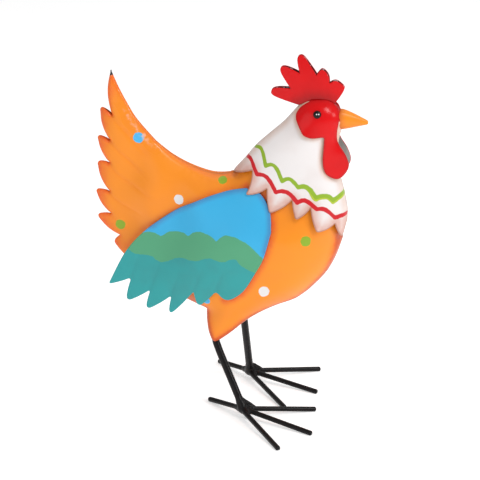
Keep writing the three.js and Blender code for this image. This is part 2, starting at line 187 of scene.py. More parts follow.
def feathers(tips, notches, long_bulge, short_bulge, tip_round, notch_round):
    tip_round = np.broadcast_to(tip_round, len(tips))
    notch_round = np.broadcast_to(notch_round, len(notches))
    long_bulge = np.broadcast_to(long_bulge, len(notches))
    short_bulge = np.broadcast_to(short_bulge, len(notches))
    corners = [tips[0]]
    rounds = []
    for k, (notch, tip) in enumerate(zip(notches, tips[1:])):
        corners += [notch, tip]
        rounds += [notch_round[k], tip_round[k + 1]]
    corners = np.array(corners, float)
    drawn = corners.copy()
    for k in range(1, len(corners) - 1):
        outwards = corners[k] - (corners[k - 1] + corners[k + 1]) / 2
        drawn[k] += outwards / np.linalg.norm(outwards) * POINT_LOSS * rounds[k - 1]
    bulges = np.stack([long_bulge, short_bulge], axis=1).ravel()
    return [(bowed_line(*drawn[k : k + 2], bulges[k]), rounds[k]) for k in range(len(rounds))]


TAIL_TIPS = [
    (-108.5, 291.5), (-117.3, 259), (-120.3, 234), (-120.8, 211), (-122.8, 186), (-122, 163.5),
    (-109.5, 139.6),
]
TAIL_NOTCHES = [
    (-108, 253.5), (-110.5, 231), (-111.5, 211), (-112, 185.5), (-111.5, 165.5), (-104, 146),
]
tail_row = feathers(
    TAIL_TIPS, TAIL_NOTCHES, [0.08, 0.1, 0.1, 0.1, 0.1, 0.1], 0.05, tip_round=3, notch_round=0.8
)

COLLAR_TIPS = [(-5, 209.5), (9, 196.5), (29, 182.5), (51, 178), (68.5, 168), (87.5, 157)]
COLLAR_NOTCHES = [(12.6, 215), (26, 202), (47, 193.5), (62.5, 187), (82, 172)]
collar_row = feathers(
    COLLAR_TIPS, COLLAR_NOTCHES, [0.03, 0.08, 0.08, 0.08, 0.08], [-0.09, 0.04, 0.04, 0.04, 0.04],
    tip_round=2, notch_round=1,
)

WING_TIPS = [(-110.3, 108.2), (-93.5, 96), (-76, 90), (-56, 87.5), (-31, 96.5), (-8, 103.5)]
WING_NOTCHES = [(-91.5, 114), (-74.5, 105), (-56, 101.5), (-36, 108), (-16.5, 110)]
wing_row = feathers(
    WING_TIPS, WING_NOTCHES, 0.03, 0.04, tip_round=[3, 5.5, 5.5, 5.5, 5, 4], notch_round=[6, 6, 6, 3, 5]
)
print("feathers:", len(TAIL_TIPS), "tail,", len(COLLAR_TIPS), "collar,", len(WING_TIPS), "wing")

# %% [markdown]
# ## Outlines of the sheets
# The long edges between the feathers are smooth lines through a few points. They follow the tail's
# underside, thigh, belly, breast, throat, head, nape and back, and every sheet takes the stretches
# that it needs. One closed curve for each sheet would be simpler to draw, but shared stretches make
# sure that sheets which meet have the same edge.

# %% Outlines
UNDERSIDE = [(-109.5, 139.6), (-101, 129), (-82.5, 112.8), (-64, 101.2), (-44, 93.8), (-26.8, 88.4)]
THIGH_BACK = [(-26.8, 88.4), (-26.2, 81), (-24, 71), (-20.8, 63.4)]
THIGH_END = [(-20.8, 63.4), (-18.2, 62), (-14.5, 63.4)]
BELLY = [(-14.5, 63.4), (-4.5, 69.8), (8, 78.6), (20.5, 85.2), (33, 91), (49, 97.7), (59.7, 105.8)]
BREAST = [(59.7, 105.8), (68.7, 115.3), (76.2, 125), (81.8, 136), (86, 148), (89.2, 160), (91.2, 170.5)]
THROAT = [(91.2, 170.5), (91.3, 179.5), (89, 191.5), (86.5, 201.5), (84, 211), (82.3, 221.5)]
CHIN = [(82.3, 221.5), (82.2, 232), (83.3, 241.5), (85, 249)]
CROWN = [(84, 266), (79, 270.6), (73, 273.6), (65, 275), (56, 273.2), (50, 268.8), (46, 264.5)]
NAPE = [(46, 264.5), (37, 254), (25, 243), (13.5, 232), (4, 220), (-5, 209.5)]
SADDLE = [(-5, 209.5), (-12, 206.3), (-25, 206.4), (-42, 212.3), (-57.5, 220.8), (-71, 231.6)]
TAIL_BACK = [(-71, 231.6), (-86.5, 249.5), (-94.5, 262.5), (-101.8, 276.5), (-108.5, 291.5)]
STUMP = [(91.3, 179.5), (84, 188), (68, 206), (40, 216), (12, 225)]
WING_FRONT = [(-8, 103.5), (0, 107), (8.5, 115), (17.5, 130.5), (24.5, 144.5), (30.5, 167)]
WING_SHOULDER = [(30.5, 167), (29.3, 180), (25.2, 190.5), (18.5, 198), (8, 200.6)]
WING_TOP = [
    (8, 200.6), (-9.5, 196.6), (-32, 188.8), (-55.5, 175.2), (-79, 156.4), (-95.8, 136.8),
    (-110.3, 108.2),
]
TAIL_POINT_ROUND = 0.6
MOUTH_ROUND = 1
WING_POINT_ROUND = 2


def plain(*lines):
    return [(smooth_line(line), 0) for line in lines]


tail_tip = (smooth_line(TAIL_BACK), TAIL_POINT_ROUND)
stump_back = (bowed_line(STUMP[-1], NAPE[-2], 0), 0)
body_ring = joined([
    *tail_row, *plain(UNDERSIDE, THIGH_BACK, THIGH_END, BELLY, BREAST, THROAT[:2], STUMP), stump_back,
    *plain(NAPE[-2:], SADDLE), tail_tip,
])
mouth = (bowed_line(CHIN[-1], CROWN[0], 0), MOUTH_ROUND)
collar_end = (bowed_line(COLLAR_TIPS[-1], THROAT[0], 0), 0)
neck_ring = joined([*collar_row, collar_end, *plain(THROAT, CHIN), mouth, *plain(CROWN, NAPE)])
wing_point = (smooth_line(WING_TOP), WING_POINT_ROUND)
wing_ring = joined([*wing_row, *plain(WING_FRONT, WING_SHOULDER), wing_point])
tail_tip_line = [(bowed_line(a, b, 0), 0) for a, b in zip(TAIL_TIPS, TAIL_TIPS[1:])]
seam_ring = joined([
    *tail_tip_line, *plain(UNDERSIDE, THIGH_BACK, THIGH_END, BELLY, BREAST, THROAT, CHIN), mouth,
    *plain(CROWN, NAPE, SADDLE, TAIL_BACK),
])
print("outline points: body", len(body_ring), "neck", len(neck_ring), "wing", len(wing_ring))

# %% [markdown]
# ## The pressed form
# A half of the bird is a dome over its side outline: at the edge it turns over like a quarter
# circle, and further in it reaches a depth that differs between tail, breast, thigh and head.
# Sculpting could give this form, but a rule gives the same dome to the body, the collar that lies
# over it, the wing on its flank and the plate on its face, so that they nest. The rule needs the
# distance to the outline and a few depths.

# %% Distances in the drawing
LEAST_LENGTH = 1e-9


def distance_to(points, line):
    nearest = np.full(len(points), np.inf)
    for start, end in zip(line, line[1:]):
        along = end - start
        squared = max(along @ along, LEAST_LENGTH)
        share = np.clip((points - start) @ along / squared, 0, 1)
        apart = points - start - share[:, None] * along
        nearest = np.minimum(nearest, (apart**2).sum(1))
    return np.sqrt(nearest)


def looped(ring):
    return np.vstack([ring, ring[:1]])


def is_inside(points, ring):
    x, z = points.T
    inside = np.zeros(len(points), bool)
    for (ax, az), (bx, bz) in zip(ring, np.roll(ring, -1, axis=0)):
        if az != bz:
            inside ^= ((az > z) != (bz > z)) & (x < ax + (z - az) * (bx - ax) / (bz - az))
    return inside


def inset_in(points, ring):
    return np.where(is_inside(points, ring), distance_to(points, looped(ring)), 0)


flank_middle = np.array([(20.0, 145.0)])
print("middle of the flank to the outline, mm:", np.round(inset_in(flank_middle, seam_ring), 1))

# %% Dome of the bird
SEAM_GAP = 0.06
# Places of the drawing, each with the depth there and the width of the turned edge.
DEPTHS = np.array([
    (-104, 275, 5, 12), (-98, 245, 8, 20), (-105, 205, 5.5, 20), (-105, 160, 4, 18), (-65, 185, 17, 32),
    (-15, 185, 29, 40), (0, 150, 36, 52), (50, 150, 36, 50), (25, 110, 35, 44), (-15, 85, 31, 28),
    (45, 200, 25, 36), (60, 232, 16.5, 27), (66, 257, 15.5, 20),
])
DEPTH_REACH = 12
# Places where the halves stay apart: thigh, tail's tip and mouth, each with half the gap and its reach.
OPENINGS = [(-18.5, 62, 24.5, 34), (-108.5, 291.5, 0.6, 8), (85, 257.5, 6, 4.3)]


def step_up(value, low, high):
    t = np.clip((value - low) / (high - low), 0, 1)
    return t * t * (3 - 2 * t)


def round_edge(share):
    return np.sqrt(1 - (1 - np.clip(share, 0, 1)) ** 2)


def dome(points):
    apart = ((points[:, None] - DEPTHS[None, :, :2]) ** 2).sum(2)
    weight = 1 / (apart + DEPTH_REACH**2) ** 2
    weight /= weight.sum(1, keepdims=True)
    depth, edge = weight @ DEPTHS[:, 2], weight @ DEPTHS[:, 3]
    gap = np.full(len(points), SEAM_GAP)
    for x, z, half, reach in OPENINGS:
        gap += half * np.exp(-((points - (x, z)) ** 2).sum(1) / reach**2)
    return gap + np.maximum(0, depth - gap) * round_edge(inset_in(points, seam_ring) / edge)


print("depth of the flank, mm:", np.round(dome(flank_middle), 1))

# %% [markdown]
# ## How the sheets nest
# The body narrows where it goes up into the collar, and the collar's teeth stand out a little over
# it. The wing hugs the flank in front and above, and its free feathers stand away behind. A
# Shrinkwrap modifier would press one sheet on the other all over. Here each is a small change to
# the same dome, so nothing pokes through its neighbour and the free parts stay free.

# %% Nesting of the sheets
SHEET = 0.8
COLLAR_LINES = [(201.5, -0.5), (206, -1)]
TUCK = 3
TUCK_RUN = (3, 22)
FLARE = 1.2
FLARE_FADE = (3, 24)
FLANK_DEPTH = 18
WING_CLEARANCE = 1.5
WING_FREE = (42.4, 0.084, -0.122)
WING_BLEND = 2


def above_collar(points):
    x, z = points.T
    heights = [(z - level - slope * x) / math.hypot(1, slope) for level, slope in COLLAR_LINES]
    return np.min(heights, axis=0)


def flank(points):
    return np.clip(dome(points) / FLANK_DEPTH, 0, 1)


def body_tuck(points):
    start = -TUCK_RUN[0] - TUCK_RUN[1] * flank(points)
    return TUCK * step_up(above_collar(points), start, 1)


def collar_flare(points):
    return FLARE * flank(points) * (1 - step_up(above_collar(points), *FLARE_FADE))


def wing_height(points):
    hugging = dome(points) - body_tuck(points) + WING_CLEARANCE + SHEET
    base, per_x, per_z = WING_FREE
    free = base + per_x * points[:, 0] + per_z * points[:, 1]
    return WING_BLEND * np.logaddexp(hugging / WING_BLEND, free / WING_BLEND)


wing_ends = wing_height(np.array([(-100.0, 110.0), (20.0, 160.0)]))
print("wing stands off the seam by", np.round(wing_ends, 1), "mm, behind and in front")

# %% [markdown]
# ## Pressing a sheet
# A subdivision surface would round off the feathers' points, so the sheet is a fine triangle mesh
# instead: points on the outline, rows just inside it where the sheet turns over, and a grid in
# between, joined by Blender's own Delaunay triangulation. Every point is pushed out to the dome,
# lone ridges are eased, and the thickness goes inside. The cut edge gets one more row of points, so
# that it is round and not sharp.

# %% Points of a sheet
GRID_PITCH = 1.4
EDGE_ROWS = (0.5, 1.2, 2.2)
ROW_KEPT = 0.85


def row_inside(ring, inset):
    along = np.roll(ring, -1, axis=0) - np.roll(ring, 1, axis=0)
    along /= np.linalg.norm(along, axis=1, keepdims=True)
    row = ring + inset * np.stack([-along[:, 1], along[:, 0]], axis=1)
    return row[inset_in(row, ring) > ROW_KEPT * inset]


def grid_inside(ring, pitch, margin):
    low, high = ring.min(0), ring.max(0)
    rise = pitch * math.sin(math.pi / 3)
    rows = np.arange(low[1] + rise, high[1], rise)
    columns = np.arange(low[0], high[0], pitch)
    grid = np.array([(x + pitch / 2 * (k % 2), z) for k, z in enumerate(rows) for x in columns])
    return grid[inset_in(grid, ring) > margin]


print("grid points inside the wing:", len(grid_inside(wing_ring, GRID_PITCH, EDGE_ROWS[-1])))

# %% Sheet maker
GRID_MARGIN = 0.55
SAME_POINT = 1e-4
EASE_REACH = 12
EDGE_HELD = (2.5, 8)
BESIDE_BIRD = 200


def normals_of(points, triangles):
    a, b, c = (points[triangles[:, k]] for k in range(3))
    face = np.cross(b - a, c - a)
    total = np.zeros((len(points), 3))
    for corner in triangles.T:
        for axis in range(3):
            total[:, axis] += np.bincount(corner, face[:, axis], len(points))
    return total / np.linalg.norm(total, axis=1, keepdims=True)


def eased(values, triangles, freedom, rounds):
    a = triangles.ravel()
    b = np.roll(triangles, -1, axis=1).ravel()
    count = np.bincount(np.r_[a, b], minlength=len(values))
    for _ in range(rounds):
        around = np.bincount(np.r_[a, b], np.r_[values[b], values[a]], len(values)) / count
        values = values + 0.5 * freedom * (around - values)
    return values


class Sheet:
    """A pressed sheet of the right side: points of the drawing, outer skin and its triangles."""

    def __init__(self, ring, height, lift=None, pitch=GRID_PITCH, ease=EASE_REACH, press=None):
        rows = [row_inside(ring, inset) for inset in EDGE_ROWS]
        seeds = np.vstack([ring, *rows, grid_inside(ring, pitch, EDGE_ROWS[-1] + GRID_MARGIN * pitch)])
        cut = [list(range(len(ring)))]
        flat, _, faces, *_ = delaunay_2d_cdt([Vector(p) for p in seeds], [], cut, 1, SAME_POINT)
        self.flat = np.array([tuple(p) for p in flat])
        self.triangles = np.array(faces)
        self.inset = distance_to(self.flat, looped(ring))
        freedom = step_up(self.inset, *EDGE_HELD)
        depth = eased(height(self.flat), self.triangles, freedom, round((ease / pitch) ** 2))
        if press is not None:
            depth = depth - press(self.flat)
        form = np.stack([self.flat[:, 0], -depth, self.flat[:, 1]], axis=1)
        self.normals = normals_of(form, self.triangles)
        if lift is not None:
            form = form + self.normals * np.reshape(lift(self.flat), (-1, 1))
        form[:, 1] = np.minimum(form[:, 1], -SEAM_GAP)
        self.outer = form
        self.rim = self.rim_loop()

    def rim_loop(self):
        pairs = np.vstack([self.triangles[:, [k, (k + 1) % 3]] for k in range(3)])
        known = {(int(a), int(b)) for a, b in pairs}
        following = {a: b for a, b in known if (b, a) not in known}
        loop = [min(following)]
        while following[loop[-1]] != loop[0]:
            loop.append(following[loop[-1]])
        return np.array(loop)

    def on_skin(self, points):
        """Points of the drawing, laid on the outer skin; those beside the sheet are left out."""
        skin = BVHTree.FromPolygons(self.outer.tolist(), self.triangles.tolist())
        inwards = Vector((0, 1, 0))
        hits = [skin.ray_cast(Vector((x, -BESIDE_BIRD, z)), inwards)[0] for x, z in points]
        return np.array([tuple(hit) for hit in hits if hit is not None])


print("sheets are", SHEET, "mm thick")

# %% [markdown]
# ## From a sheet to two mirrored pieces
# The left half is the right half's mirror image. A Mirror modifier would join both into one piece,
# but they are separate sheets, so the mesh is written twice, with y and the faces' direction turned
# round. Numbers that the paint needs, such as a distance to an edge, ride along as attributes on
# the points.

# %% Mesh of a sheet
EDGE_BULGE = 0.3
INNER_GAP = 0.8 * SEAM_GAP


def store(mesh, key, values):
    layer = mesh.attributes.new(key, "FLOAT", "POINT")
    layer.data.foreach_set("value", np.asarray(values, np.float32))


def sheet_mesh(name, sheet, attributes, left):
    count, rim = len(sheet.outer), sheet.rim
    inner = sheet.outer - SHEET * sheet.normals
    inner[:, 1] = np.minimum(inner[:, 1], -INNER_GAP)
    along = np.roll(sheet.outer[rim], -1, axis=0) - np.roll(sheet.outer[rim], 1, axis=0)
    outwards = np.cross(along, sheet.normals[rim])
    outwards /= np.linalg.norm(outwards, axis=1, keepdims=True)
    edge = (sheet.outer[rim] + inner[rim]) / 2 + EDGE_BULGE * outwards
    edge[:, 1] = np.minimum(edge[:, 1], -INNER_GAP)
    corners = np.vstack([sheet.outer, inner, edge])
    faces = [*sheet.triangles.tolist(), *(sheet.triangles[:, ::-1] + count).tolist()]
    edge_row = 2 * count + np.arange(len(rim))
    for upper, lower in ((rim, edge_row), (edge_row, count + rim)):
        faces += np.stack([np.roll(upper, -1), upper, lower, np.roll(lower, -1)], axis=1).tolist()
    if left:
        corners = corners * (1, -1, 1)
        faces = [face[::-1] for face in faces]
    mesh = bpy.data.meshes.new(name)
    mesh.from_pydata(in_frame(corners).tolist(), [], faces)
    inside = np.zeros(len(faces), np.int32)
    inside[len(sheet.triangles) : 2 * len(sheet.triangles)] = 1
    mesh.polygons.foreach_set("material_index", inside)
    for key, values in attributes.items():
        store(mesh, key, np.r_[values, values, values[rim]])
    mesh.shade_smooth()
    mesh.update()
    return mesh


print("cut edges bulge by", EDGE_BULGE, "mm")

# %% Pieces and pairs
def add_piece(name, mesh, nodes, materials):
    piece = bpy.data.objects.new(name, mesh)
    bpy.context.scene.collection.objects.link(piece)
    for material in materials:
        if material.name not in mesh.materials:
            mesh.materials.append(material)
    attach(piece, "root")
    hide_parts(*nodes)
    return piece


def add_pair(name, sheet, attributes, materials):
    for side in ("right", "left"):
        mesh = sheet_mesh(f"{name}_sheet_{side}", sheet, attributes, side == "left")
        add_piece(mesh.name, mesh, [f"{name}_{side}"], materials)
    print(name, "halves:", 2 * len(sheet.triangles), "triangles on the outer skins")


print("all pieces ride on the body named root")

# %% [markdown]
# ## Paint in general
# All colours are hand-laid enamel over grey primer, satin to glossy, with a skin that is never
# quite even. A paint is one Principled BSDF whose base colour is mixed from layers: a ground colour
# that drifts a little, then airbrushed shade, then lines or dots. Every layer is a mask from 0 to
# 1. A painted image would need an unwrapped mesh and blur when seen close, so all masks come from
# noise and from numbers on the points. The helpers below keep those node trees short.

# %% Colour codes
def srgb(code):
    values = [int(code[k : k + 2], 16) / 255 for k in (1, 3, 5)]
    linear = [v / 12.92 if v <= 0.04045 else ((v + 0.055) / 1.055) ** 2.4 for v in values]
    return (*linear, 1)


print("half of full white is", round(srgb("#808080")[0], 3), "in linear light")

# %% Layers of paint
GLOSS_DRIFT = 14
POOLED_GLOSS = 0.4
SKIN_HEIGHT = 0.3


class Paint:
    """A material with its node tree, and the few kinds of node that the paints use."""

    def __init__(self, name, ground, shine=0.3):
        self.material = bpy.data.materials.new(name)
        self.material.use_nodes = True
        self.nodes = self.material.node_tree.nodes
        self.links = self.material.node_tree.links
        self.shader = self.nodes["Principled BSDF"]
        self.shader.inputs["Specular IOR Level"].default_value = shine
        self.place = self.nodes.new("ShaderNodeTexCoord").outputs["Object"]
        self.colour = srgb(ground)

    def put(self, socket, value):
        if isinstance(value, bpy.types.NodeSocket):
            self.links.new(value, socket)
        else:
            socket.default_value = value

    def noise(self, size_mm, detail=2.0):
        node = self.nodes.new("ShaderNodeTexNoise")
        self.links.new(self.place, node.inputs["Vector"])
        node.inputs["Scale"].default_value = 1000 / size_mm
        node.inputs["Detail"].default_value = detail
        return node.outputs["Fac"]

    def attribute(self, name):
        node = self.nodes.new("ShaderNodeAttribute")
        node.attribute_name = name
        return node.outputs["Fac"]

    def maths(self, operation, a, b=0.0):
        node = self.nodes.new("ShaderNodeMath")
        node.operation = operation
        self.put(node.inputs[0], a)
        self.put(node.inputs[1], b)
        return node.outputs[0]

    def plus(self, a, b):
        return self.maths("ADD", a, b)

    def times(self, a, b):
        return self.maths("MULTIPLY", a, b)

    def ramp(self, value, low, high, to_low=0.0, to_high=1.0):
        node = self.nodes.new("ShaderNodeMapRange")
        node.interpolation_type = "SMOOTHSTEP"
        limits = {"From Min": low, "From Max": high, "To Min": to_low, "To Max": to_high}
        for key, number in limits.items():
            node.inputs[key].default_value = number
        self.put(node.inputs["Value"], value)
        return node.outputs["Result"]

    def uneven(self, size_mm, least, most, detail=2.0):
        """A number that wanders between two limits."""
        return self.ramp(self.noise(size_mm, detail), 0.2, 0.8, least, most)

    def layer(self, mask, colour):
        node = self.nodes.new("ShaderNodeMix")
        node.data_type = "RGBA"
        self.put(node.inputs["Factor"], mask)
        self.put(node.inputs["A"], self.colour)
        self.put(node.inputs["B"], srgb(colour))
        self.colour = node.outputs["Result"]

    def clouds(self, colour, size_mm, low=0.4, high=0.75, detail=2.0):
        """A layer that comes and goes in soft patches."""
        self.layer(self.ramp(self.noise(size_mm, detail), low, high), colour)

    def finish(self, roughness, skin_mm=1.6, skin=0.06, pooled=0.0):
        """Links the colour, a roughness that drifts and drops where paint pooled, and fine bumps."""
        self.links.new(self.colour, self.shader.inputs["Base Color"])
        drift = self.ramp(self.noise(GLOSS_DRIFT), 0.3, 0.7, *roughness)
        wet = self.ramp(pooled, 0, 1, 1.0, POOLED_GLOSS)
        self.links.new(self.times(drift, wet), self.shader.inputs["Roughness"])
        bump = self.nodes.new("ShaderNodeBump")
        bump.inputs["Strength"].default_value = skin
        bump.inputs["Distance"].default_value = SKIN_HEIGHT * MM
        self.links.new(self.noise(skin_mm, 3), bump.inputs["Height"])
        self.links.new(bump.outputs["Normal"], self.shader.inputs["Normal"])
        return self.material


print("the gloss of a paint drifts over", GLOSS_DRIFT, "mm")

# %% [markdown]
# ## Grey primer inside
# Paint was sprayed and brushed on from outside. Where sheets stand apart, at the tail's notches and
# behind the wattles, the grey primer of the inner faces shows. A second, inner sheet could carry
# it, but a second material on the inner faces does the same with no more geometry, so body, neck,
# wings and face plates have one. Red ran over the top of the face plates on to their inner side,
# which a mask of their own says; the other sheets have no such mask, so it reads as zero there.

# %% Primer
primer = Paint("grey_primer", "#b2b4b2", shine=0.2)
primer.clouds("#979998", 9, 0.35, 0.75, detail=4)
primer.clouds("#cacccb", 2.5, 0.62, 0.8)
primer.layer(primer.attribute("painted"), "#dc090f")
primer_grey = primer.finish((0.5, 0.7), 0.8, 0.15)
print("inner faces:", primer_grey.name)

# %% [markdown]
# ## The body
# The body is orange. A red-orange airbrush darkens the feathers' ends, the whole edge and a rim
# around the wing, and seven dots are dabbed on. Painted shade in the airbrush's colour darkens the
# creases and the lower edges of belly, thigh and breast, a browner painted shadow lies along those
# edges and on the underside below the wing's tips, and the tail's very tip is painted near black as
# shade. The tail's back edge is glossier, and a pale streak along it is a painted highlight. Creases
# are pressed into the sheet from the notches, so they are geometry; shade, dots and highlight are
# only paint. A mask painted in a texture would need unwrapping. Distances stored on the points do
# the same and stay sharp, because the threshold is drawn by the material and not by the mesh.

# %% Creases of the tail
CREASES = [
    [(-108, 253.5), (-102.5, 246.5), (-95.2, 239.2), (-85.4, 227.8), (-70, 212.3)],
    [(-110.5, 231), (-102.8, 222.8), (-92.6, 214.1), (-80.7, 203.8), (-68, 192.5)],
    [(-111.5, 211), (-103.8, 201.5), (-92, 195), (-80, 188.6), (-64, 180)],
    [(-112, 185.5), (-108, 180.5), (-100.5, 175.4), (-89.8, 171), (-74, 164.5)],
    [(-111.5, 165.5), (-105.5, 160.4), (-95.8, 155.5), (-88, 151.8)],
]
CREASE_DEPTH = 0.7
CREASE_WIDTH = 1.5
CREASE_FADE = 30
crease_lines = [smooth_line(points) for points in CREASES]


def crease_mask(points, width):
    deepest = np.zeros(len(points))
    for line in crease_lines:
        fade = step_up(np.linalg.norm(points - line[-1], axis=1), 0, CREASE_FADE)
        deepest = np.maximum(deepest, fade * np.exp(-((distance_to(points, line) / width) ** 2)))
    return deepest


print("creases in each half of the tail:", len(crease_lines))

# %% Body sheet
TAIL_REGION = (-104, -84)
FEATHER_EDGE = 12
FEATHER_GAP = (0.12, 0.28)
FEATHER_GAP_RISE = (228, 256)
TAIL_POINT_RISE = (258, 282)


def body_height(points):
    """The dome, with the tail's feathers pressed together at their snipped edges."""
    low, high = FEATHER_GAP
    least = low + (high - low) * step_up(points[:, 1], *FEATHER_GAP_RISE)
    pressed = least + (1 - least) * round_edge(inset_in(points, body_ring) / FEATHER_EDGE)
    share = pressed + (1 - pressed) * step_up(points[:, 1], *TAIL_POINT_RISE)
    tail = 1 - step_up(points[:, 0], *TAIL_REGION)
    return dome(points) * (1 - tail * (1 - share))


body = Sheet(
    body_ring, body_height, lift=lambda p: -body_tuck(p),
    press=lambda p: CREASE_DEPTH * crease_mask(p, CREASE_WIDTH),
)
print("body sheet:", len(body.triangles), "triangles")

# %% Dots
DOTS = {
    "dot_blue": [(-85, 235.5, 4.6, 1), (-26.1, 99.7, 4.3, 1)],
    "dot_white": [(-49.2, 186.6, 4.2, 1.05), (24.6, 112.3, 4.5, 1.3)],
    "dot_green": [(-13.1, 203, 3.9, 1.05), (-102.4, 156.4, 4.4, 1), (59.3, 159.2, 4.5, 1)],
}


def dot_distance(sheet, dots):
    """Distance to the rim of the nearest dot; the last number of a dot makes it taller than wide."""
    nearest = np.full(len(sheet.outer), np.inf)
    for x, z, radius, tall in dots:
        away = (sheet.outer - sheet.on_skin([(x, z)])) / (1, tall, tall)
        nearest = np.minimum(nearest, np.linalg.norm(away, axis=1) - radius)
    return nearest


dot_masks = {key: dot_distance(body, dots) for key, dots in DOTS.items()}
print("dots on each flank:", sum(len(dots) for dots in DOTS.values()))

# %% Airbrushed shade, painted shade and a painted highlight
CREASE_SHADE = 0.2
CREASE_SHADE_WIDTH = 2.5
TAIL_END = (-90, -70)
WING_REAR = (-34, -26)
HIGHLIGHT_STREAK = (4.2, 2.6)
HIGHLIGHT_FROM = (218, 234)
HIGHLIGHT_TO = (252, 266)
HIGHLIGHT_SPOT = (-80.6, 237)


def fading(distance, solid, reach):
    return 1 - step_up(distance, solid, reach)


def body_mm(line):
    return distance_to(body.flat, smooth_line(line))


body_x, body_z = body.flat.T
in_front_of_tail = step_up(body_x, *TAIL_END)
tail_back_mm = body_mm(TAIL_BACK)
low_edges = [UNDERSIDE, THIGH_BACK, THIGH_END, BELLY, BREAST]
low_edge_mm = np.min([body_mm(line) for line in low_edges], axis=0)
# Each row has a distance in mm, how strong the airbrush is where that is zero, and how far it reaches.
airbrush_and_painted_shade = [
    (distance_to(body.flat, np.array(TAIL_TIPS, float)), 0.7, 16),
    (body.inset, 0.5, 4),
    (body_mm(WING_FRONT + WING_SHOULDER[1:]), 0.85, 9),
    (body_mm(WING_TOP), 0.5, 7),
    # Painted shade: the lower edges of belly, thigh and breast are darkened beyond their airbrush.
    (low_edge_mm, 0.8 * in_front_of_tail, 10),
]
left_bright = [1 - strength * fading(away, 0, reach) for away, strength, reach in airbrush_and_painted_shade]
# Painted shade along the pressed creases, in the airbrush's colour.
left_bright.append(1 - CREASE_SHADE * crease_mask(body.flat, CREASE_SHADE_WIDTH))
# Painted shadow: along the lower edges and on the underside below the wing's tips.
shadow_below_wing = fading(body_mm(UNDERSIDE), 8, 18) * fading(body_x, *WING_REAR)
# Painted highlight: a pale streak along the tail's back edge and a spot beside the blue dot stand for
# reflections of a lamp.
highlight_band = np.exp(-(((tail_back_mm - HIGHLIGHT_STREAK[0]) / HIGHLIGHT_STREAK[1]) ** 2))
highlight_streak = 0.75 * highlight_band * step_up(body_z, *HIGHLIGHT_FROM) * fading(body_z, *HIGHLIGHT_TO)
highlight_spot = 1.3 * fading(np.linalg.norm(body.flat - HIGHLIGHT_SPOT, axis=1), 0.8, 2.6)
body_masks = {
    "shade": 1 - np.prod(left_bright, axis=0),
    "underside_shadow": np.maximum(fading(low_edge_mm, 0.5, 6), shadow_below_wing) * in_front_of_tail,
    "pooled": fading(tail_back_mm, 4, 14),
    "painted_highlight": np.maximum(highlight_streak, highlight_spot),
    "height_mm": body_z,
    **dot_masks,
}
print("mean airbrush on the body:", round(float(body_masks["shade"].mean()), 2))

# %% Orange paint
DOT_EDGE = 0.15
DOT_WOBBLE = 0.35
DOT_COLOURS = {"dot_blue": "#55bbf0", "dot_white": "#e9e6e7", "dot_green": "#90b130"}
DARK_TIP = (287.4, 288.2)

orange = Paint("orange_enamel", "#fd9424")
orange.clouds("#f78e2c", 38)
# One layer holds airbrush and painted shade: tips, edges and wing rim are airbrush, while creases and
# lower edges are painted shade.
sprayed = orange.times(orange.attribute("shade"), orange.uneven(5, 0.72, 1.12, detail=4))
orange.layer(orange.ramp(sprayed, 0.02, 1.0), "#f0632a")
# Painted shadow, browner, along the lower edges and below the wing's tips.
orange.layer(orange.ramp(orange.attribute("underside_shadow"), 0.0, 1.0, 0.0, 0.75), "#c24f22")
# Painted shade: the tail's very tip is painted near black, as the shadowed inside between the halves.
orange.layer(orange.ramp(orange.attribute("height_mm"), *DARK_TIP), "#2b2326")
for key, colour in DOT_COLOURS.items():
    dabbed = orange.plus(orange.attribute(key), orange.uneven(4, -DOT_WOBBLE, DOT_WOBBLE))
    orange.layer(orange.ramp(dabbed, -DOT_EDGE, DOT_EDGE, 1.0, 0.0), colour)
# Painted highlight on the tail's back edge, broken up by noise.
highlight_breakup = orange.ramp(orange.noise(2.5, 4), 0.35, 0.7, 0.2, 1.0)
painted_highlight = orange.times(orange.attribute("painted_highlight"), highlight_breakup)
orange.layer(orange.ramp(painted_highlight, 0.1, 0.95, 0.0, 0.75), "#fcc0a4")
orange_enamel = orange.finish((0.28, 0.38), pooled=orange.attribute("pooled"))
add_pair("body", body, body_masks, [orange_enamel, primer_grey])

# %% [markdown]
# ## The neck and its painted lines
# The white neck carries a green and a red zigzag that follow the collar's teeth: round humps that
# meet in sharp points below. Each is a line of points laid on the dome. Every point of the sheet
# stores its distance to that line in space, with a minus sign below it, and the paint keeps what
# lies within half a brush width. Strips of mesh laid on the neck would stand out at their edges,
# while distances in space keep the brush width even where the neck turns away.

# %% Lines on the neck
RED_HUMPS = [
    [(1, 219), (6, 222.8), (10.3, 223), (13.8, 218.2), (17, 212.8)],
    [(17, 212.8), (23.5, 212.3), (28.8, 207.7), (33.4, 199.6)],
    [(33.4, 199.6), (38, 200.6), (43, 199.7), (47.5, 196), (51.3, 191.2)],
    [(51.3, 191.2), (56.5, 193.4), (61.6, 191), (67.6, 186)],
    [(67.6, 186), (73.3, 185.2), (78, 181.8), (82, 177)],
    [(82, 177), (86.5, 177.2), (93, 177)],
]
GREEN_HUMPS = [
    [(12, 231), (17, 232.6), (20.1, 230.8), (22.5, 225), (23.9, 219.8)],
    [(23.9, 219.8), (28, 221.4), (31.5, 220.6), (34.9, 216.4), (38.4, 208.5)],
    [(38.4, 208.5), (42, 210.8), (45.5, 210.6), (48.5, 208), (51.7, 204)],
    [(51.7, 204), (56, 204.8), (59.5, 203.4), (63, 199.3), (66.4, 194.5)],
    [(66.4, 194.5), (71, 195.6), (76, 194.6), (80.2, 190.4)],
    [(80.2, 190.4), (84, 192.6), (92, 196.5)],
]
RED_HALF_WIDTH = [(0, 1.6), (50, 1.8), (93, 1.8)]
GREEN_HALF_WIDTH = [(12, 1.5), (50, 1.6), (64, 2.4), (92, 2.3)]
BRUSH_STEP = 0.6

neck = Sheet(neck_ring, dome, lift=collar_flare, pitch=0.9)


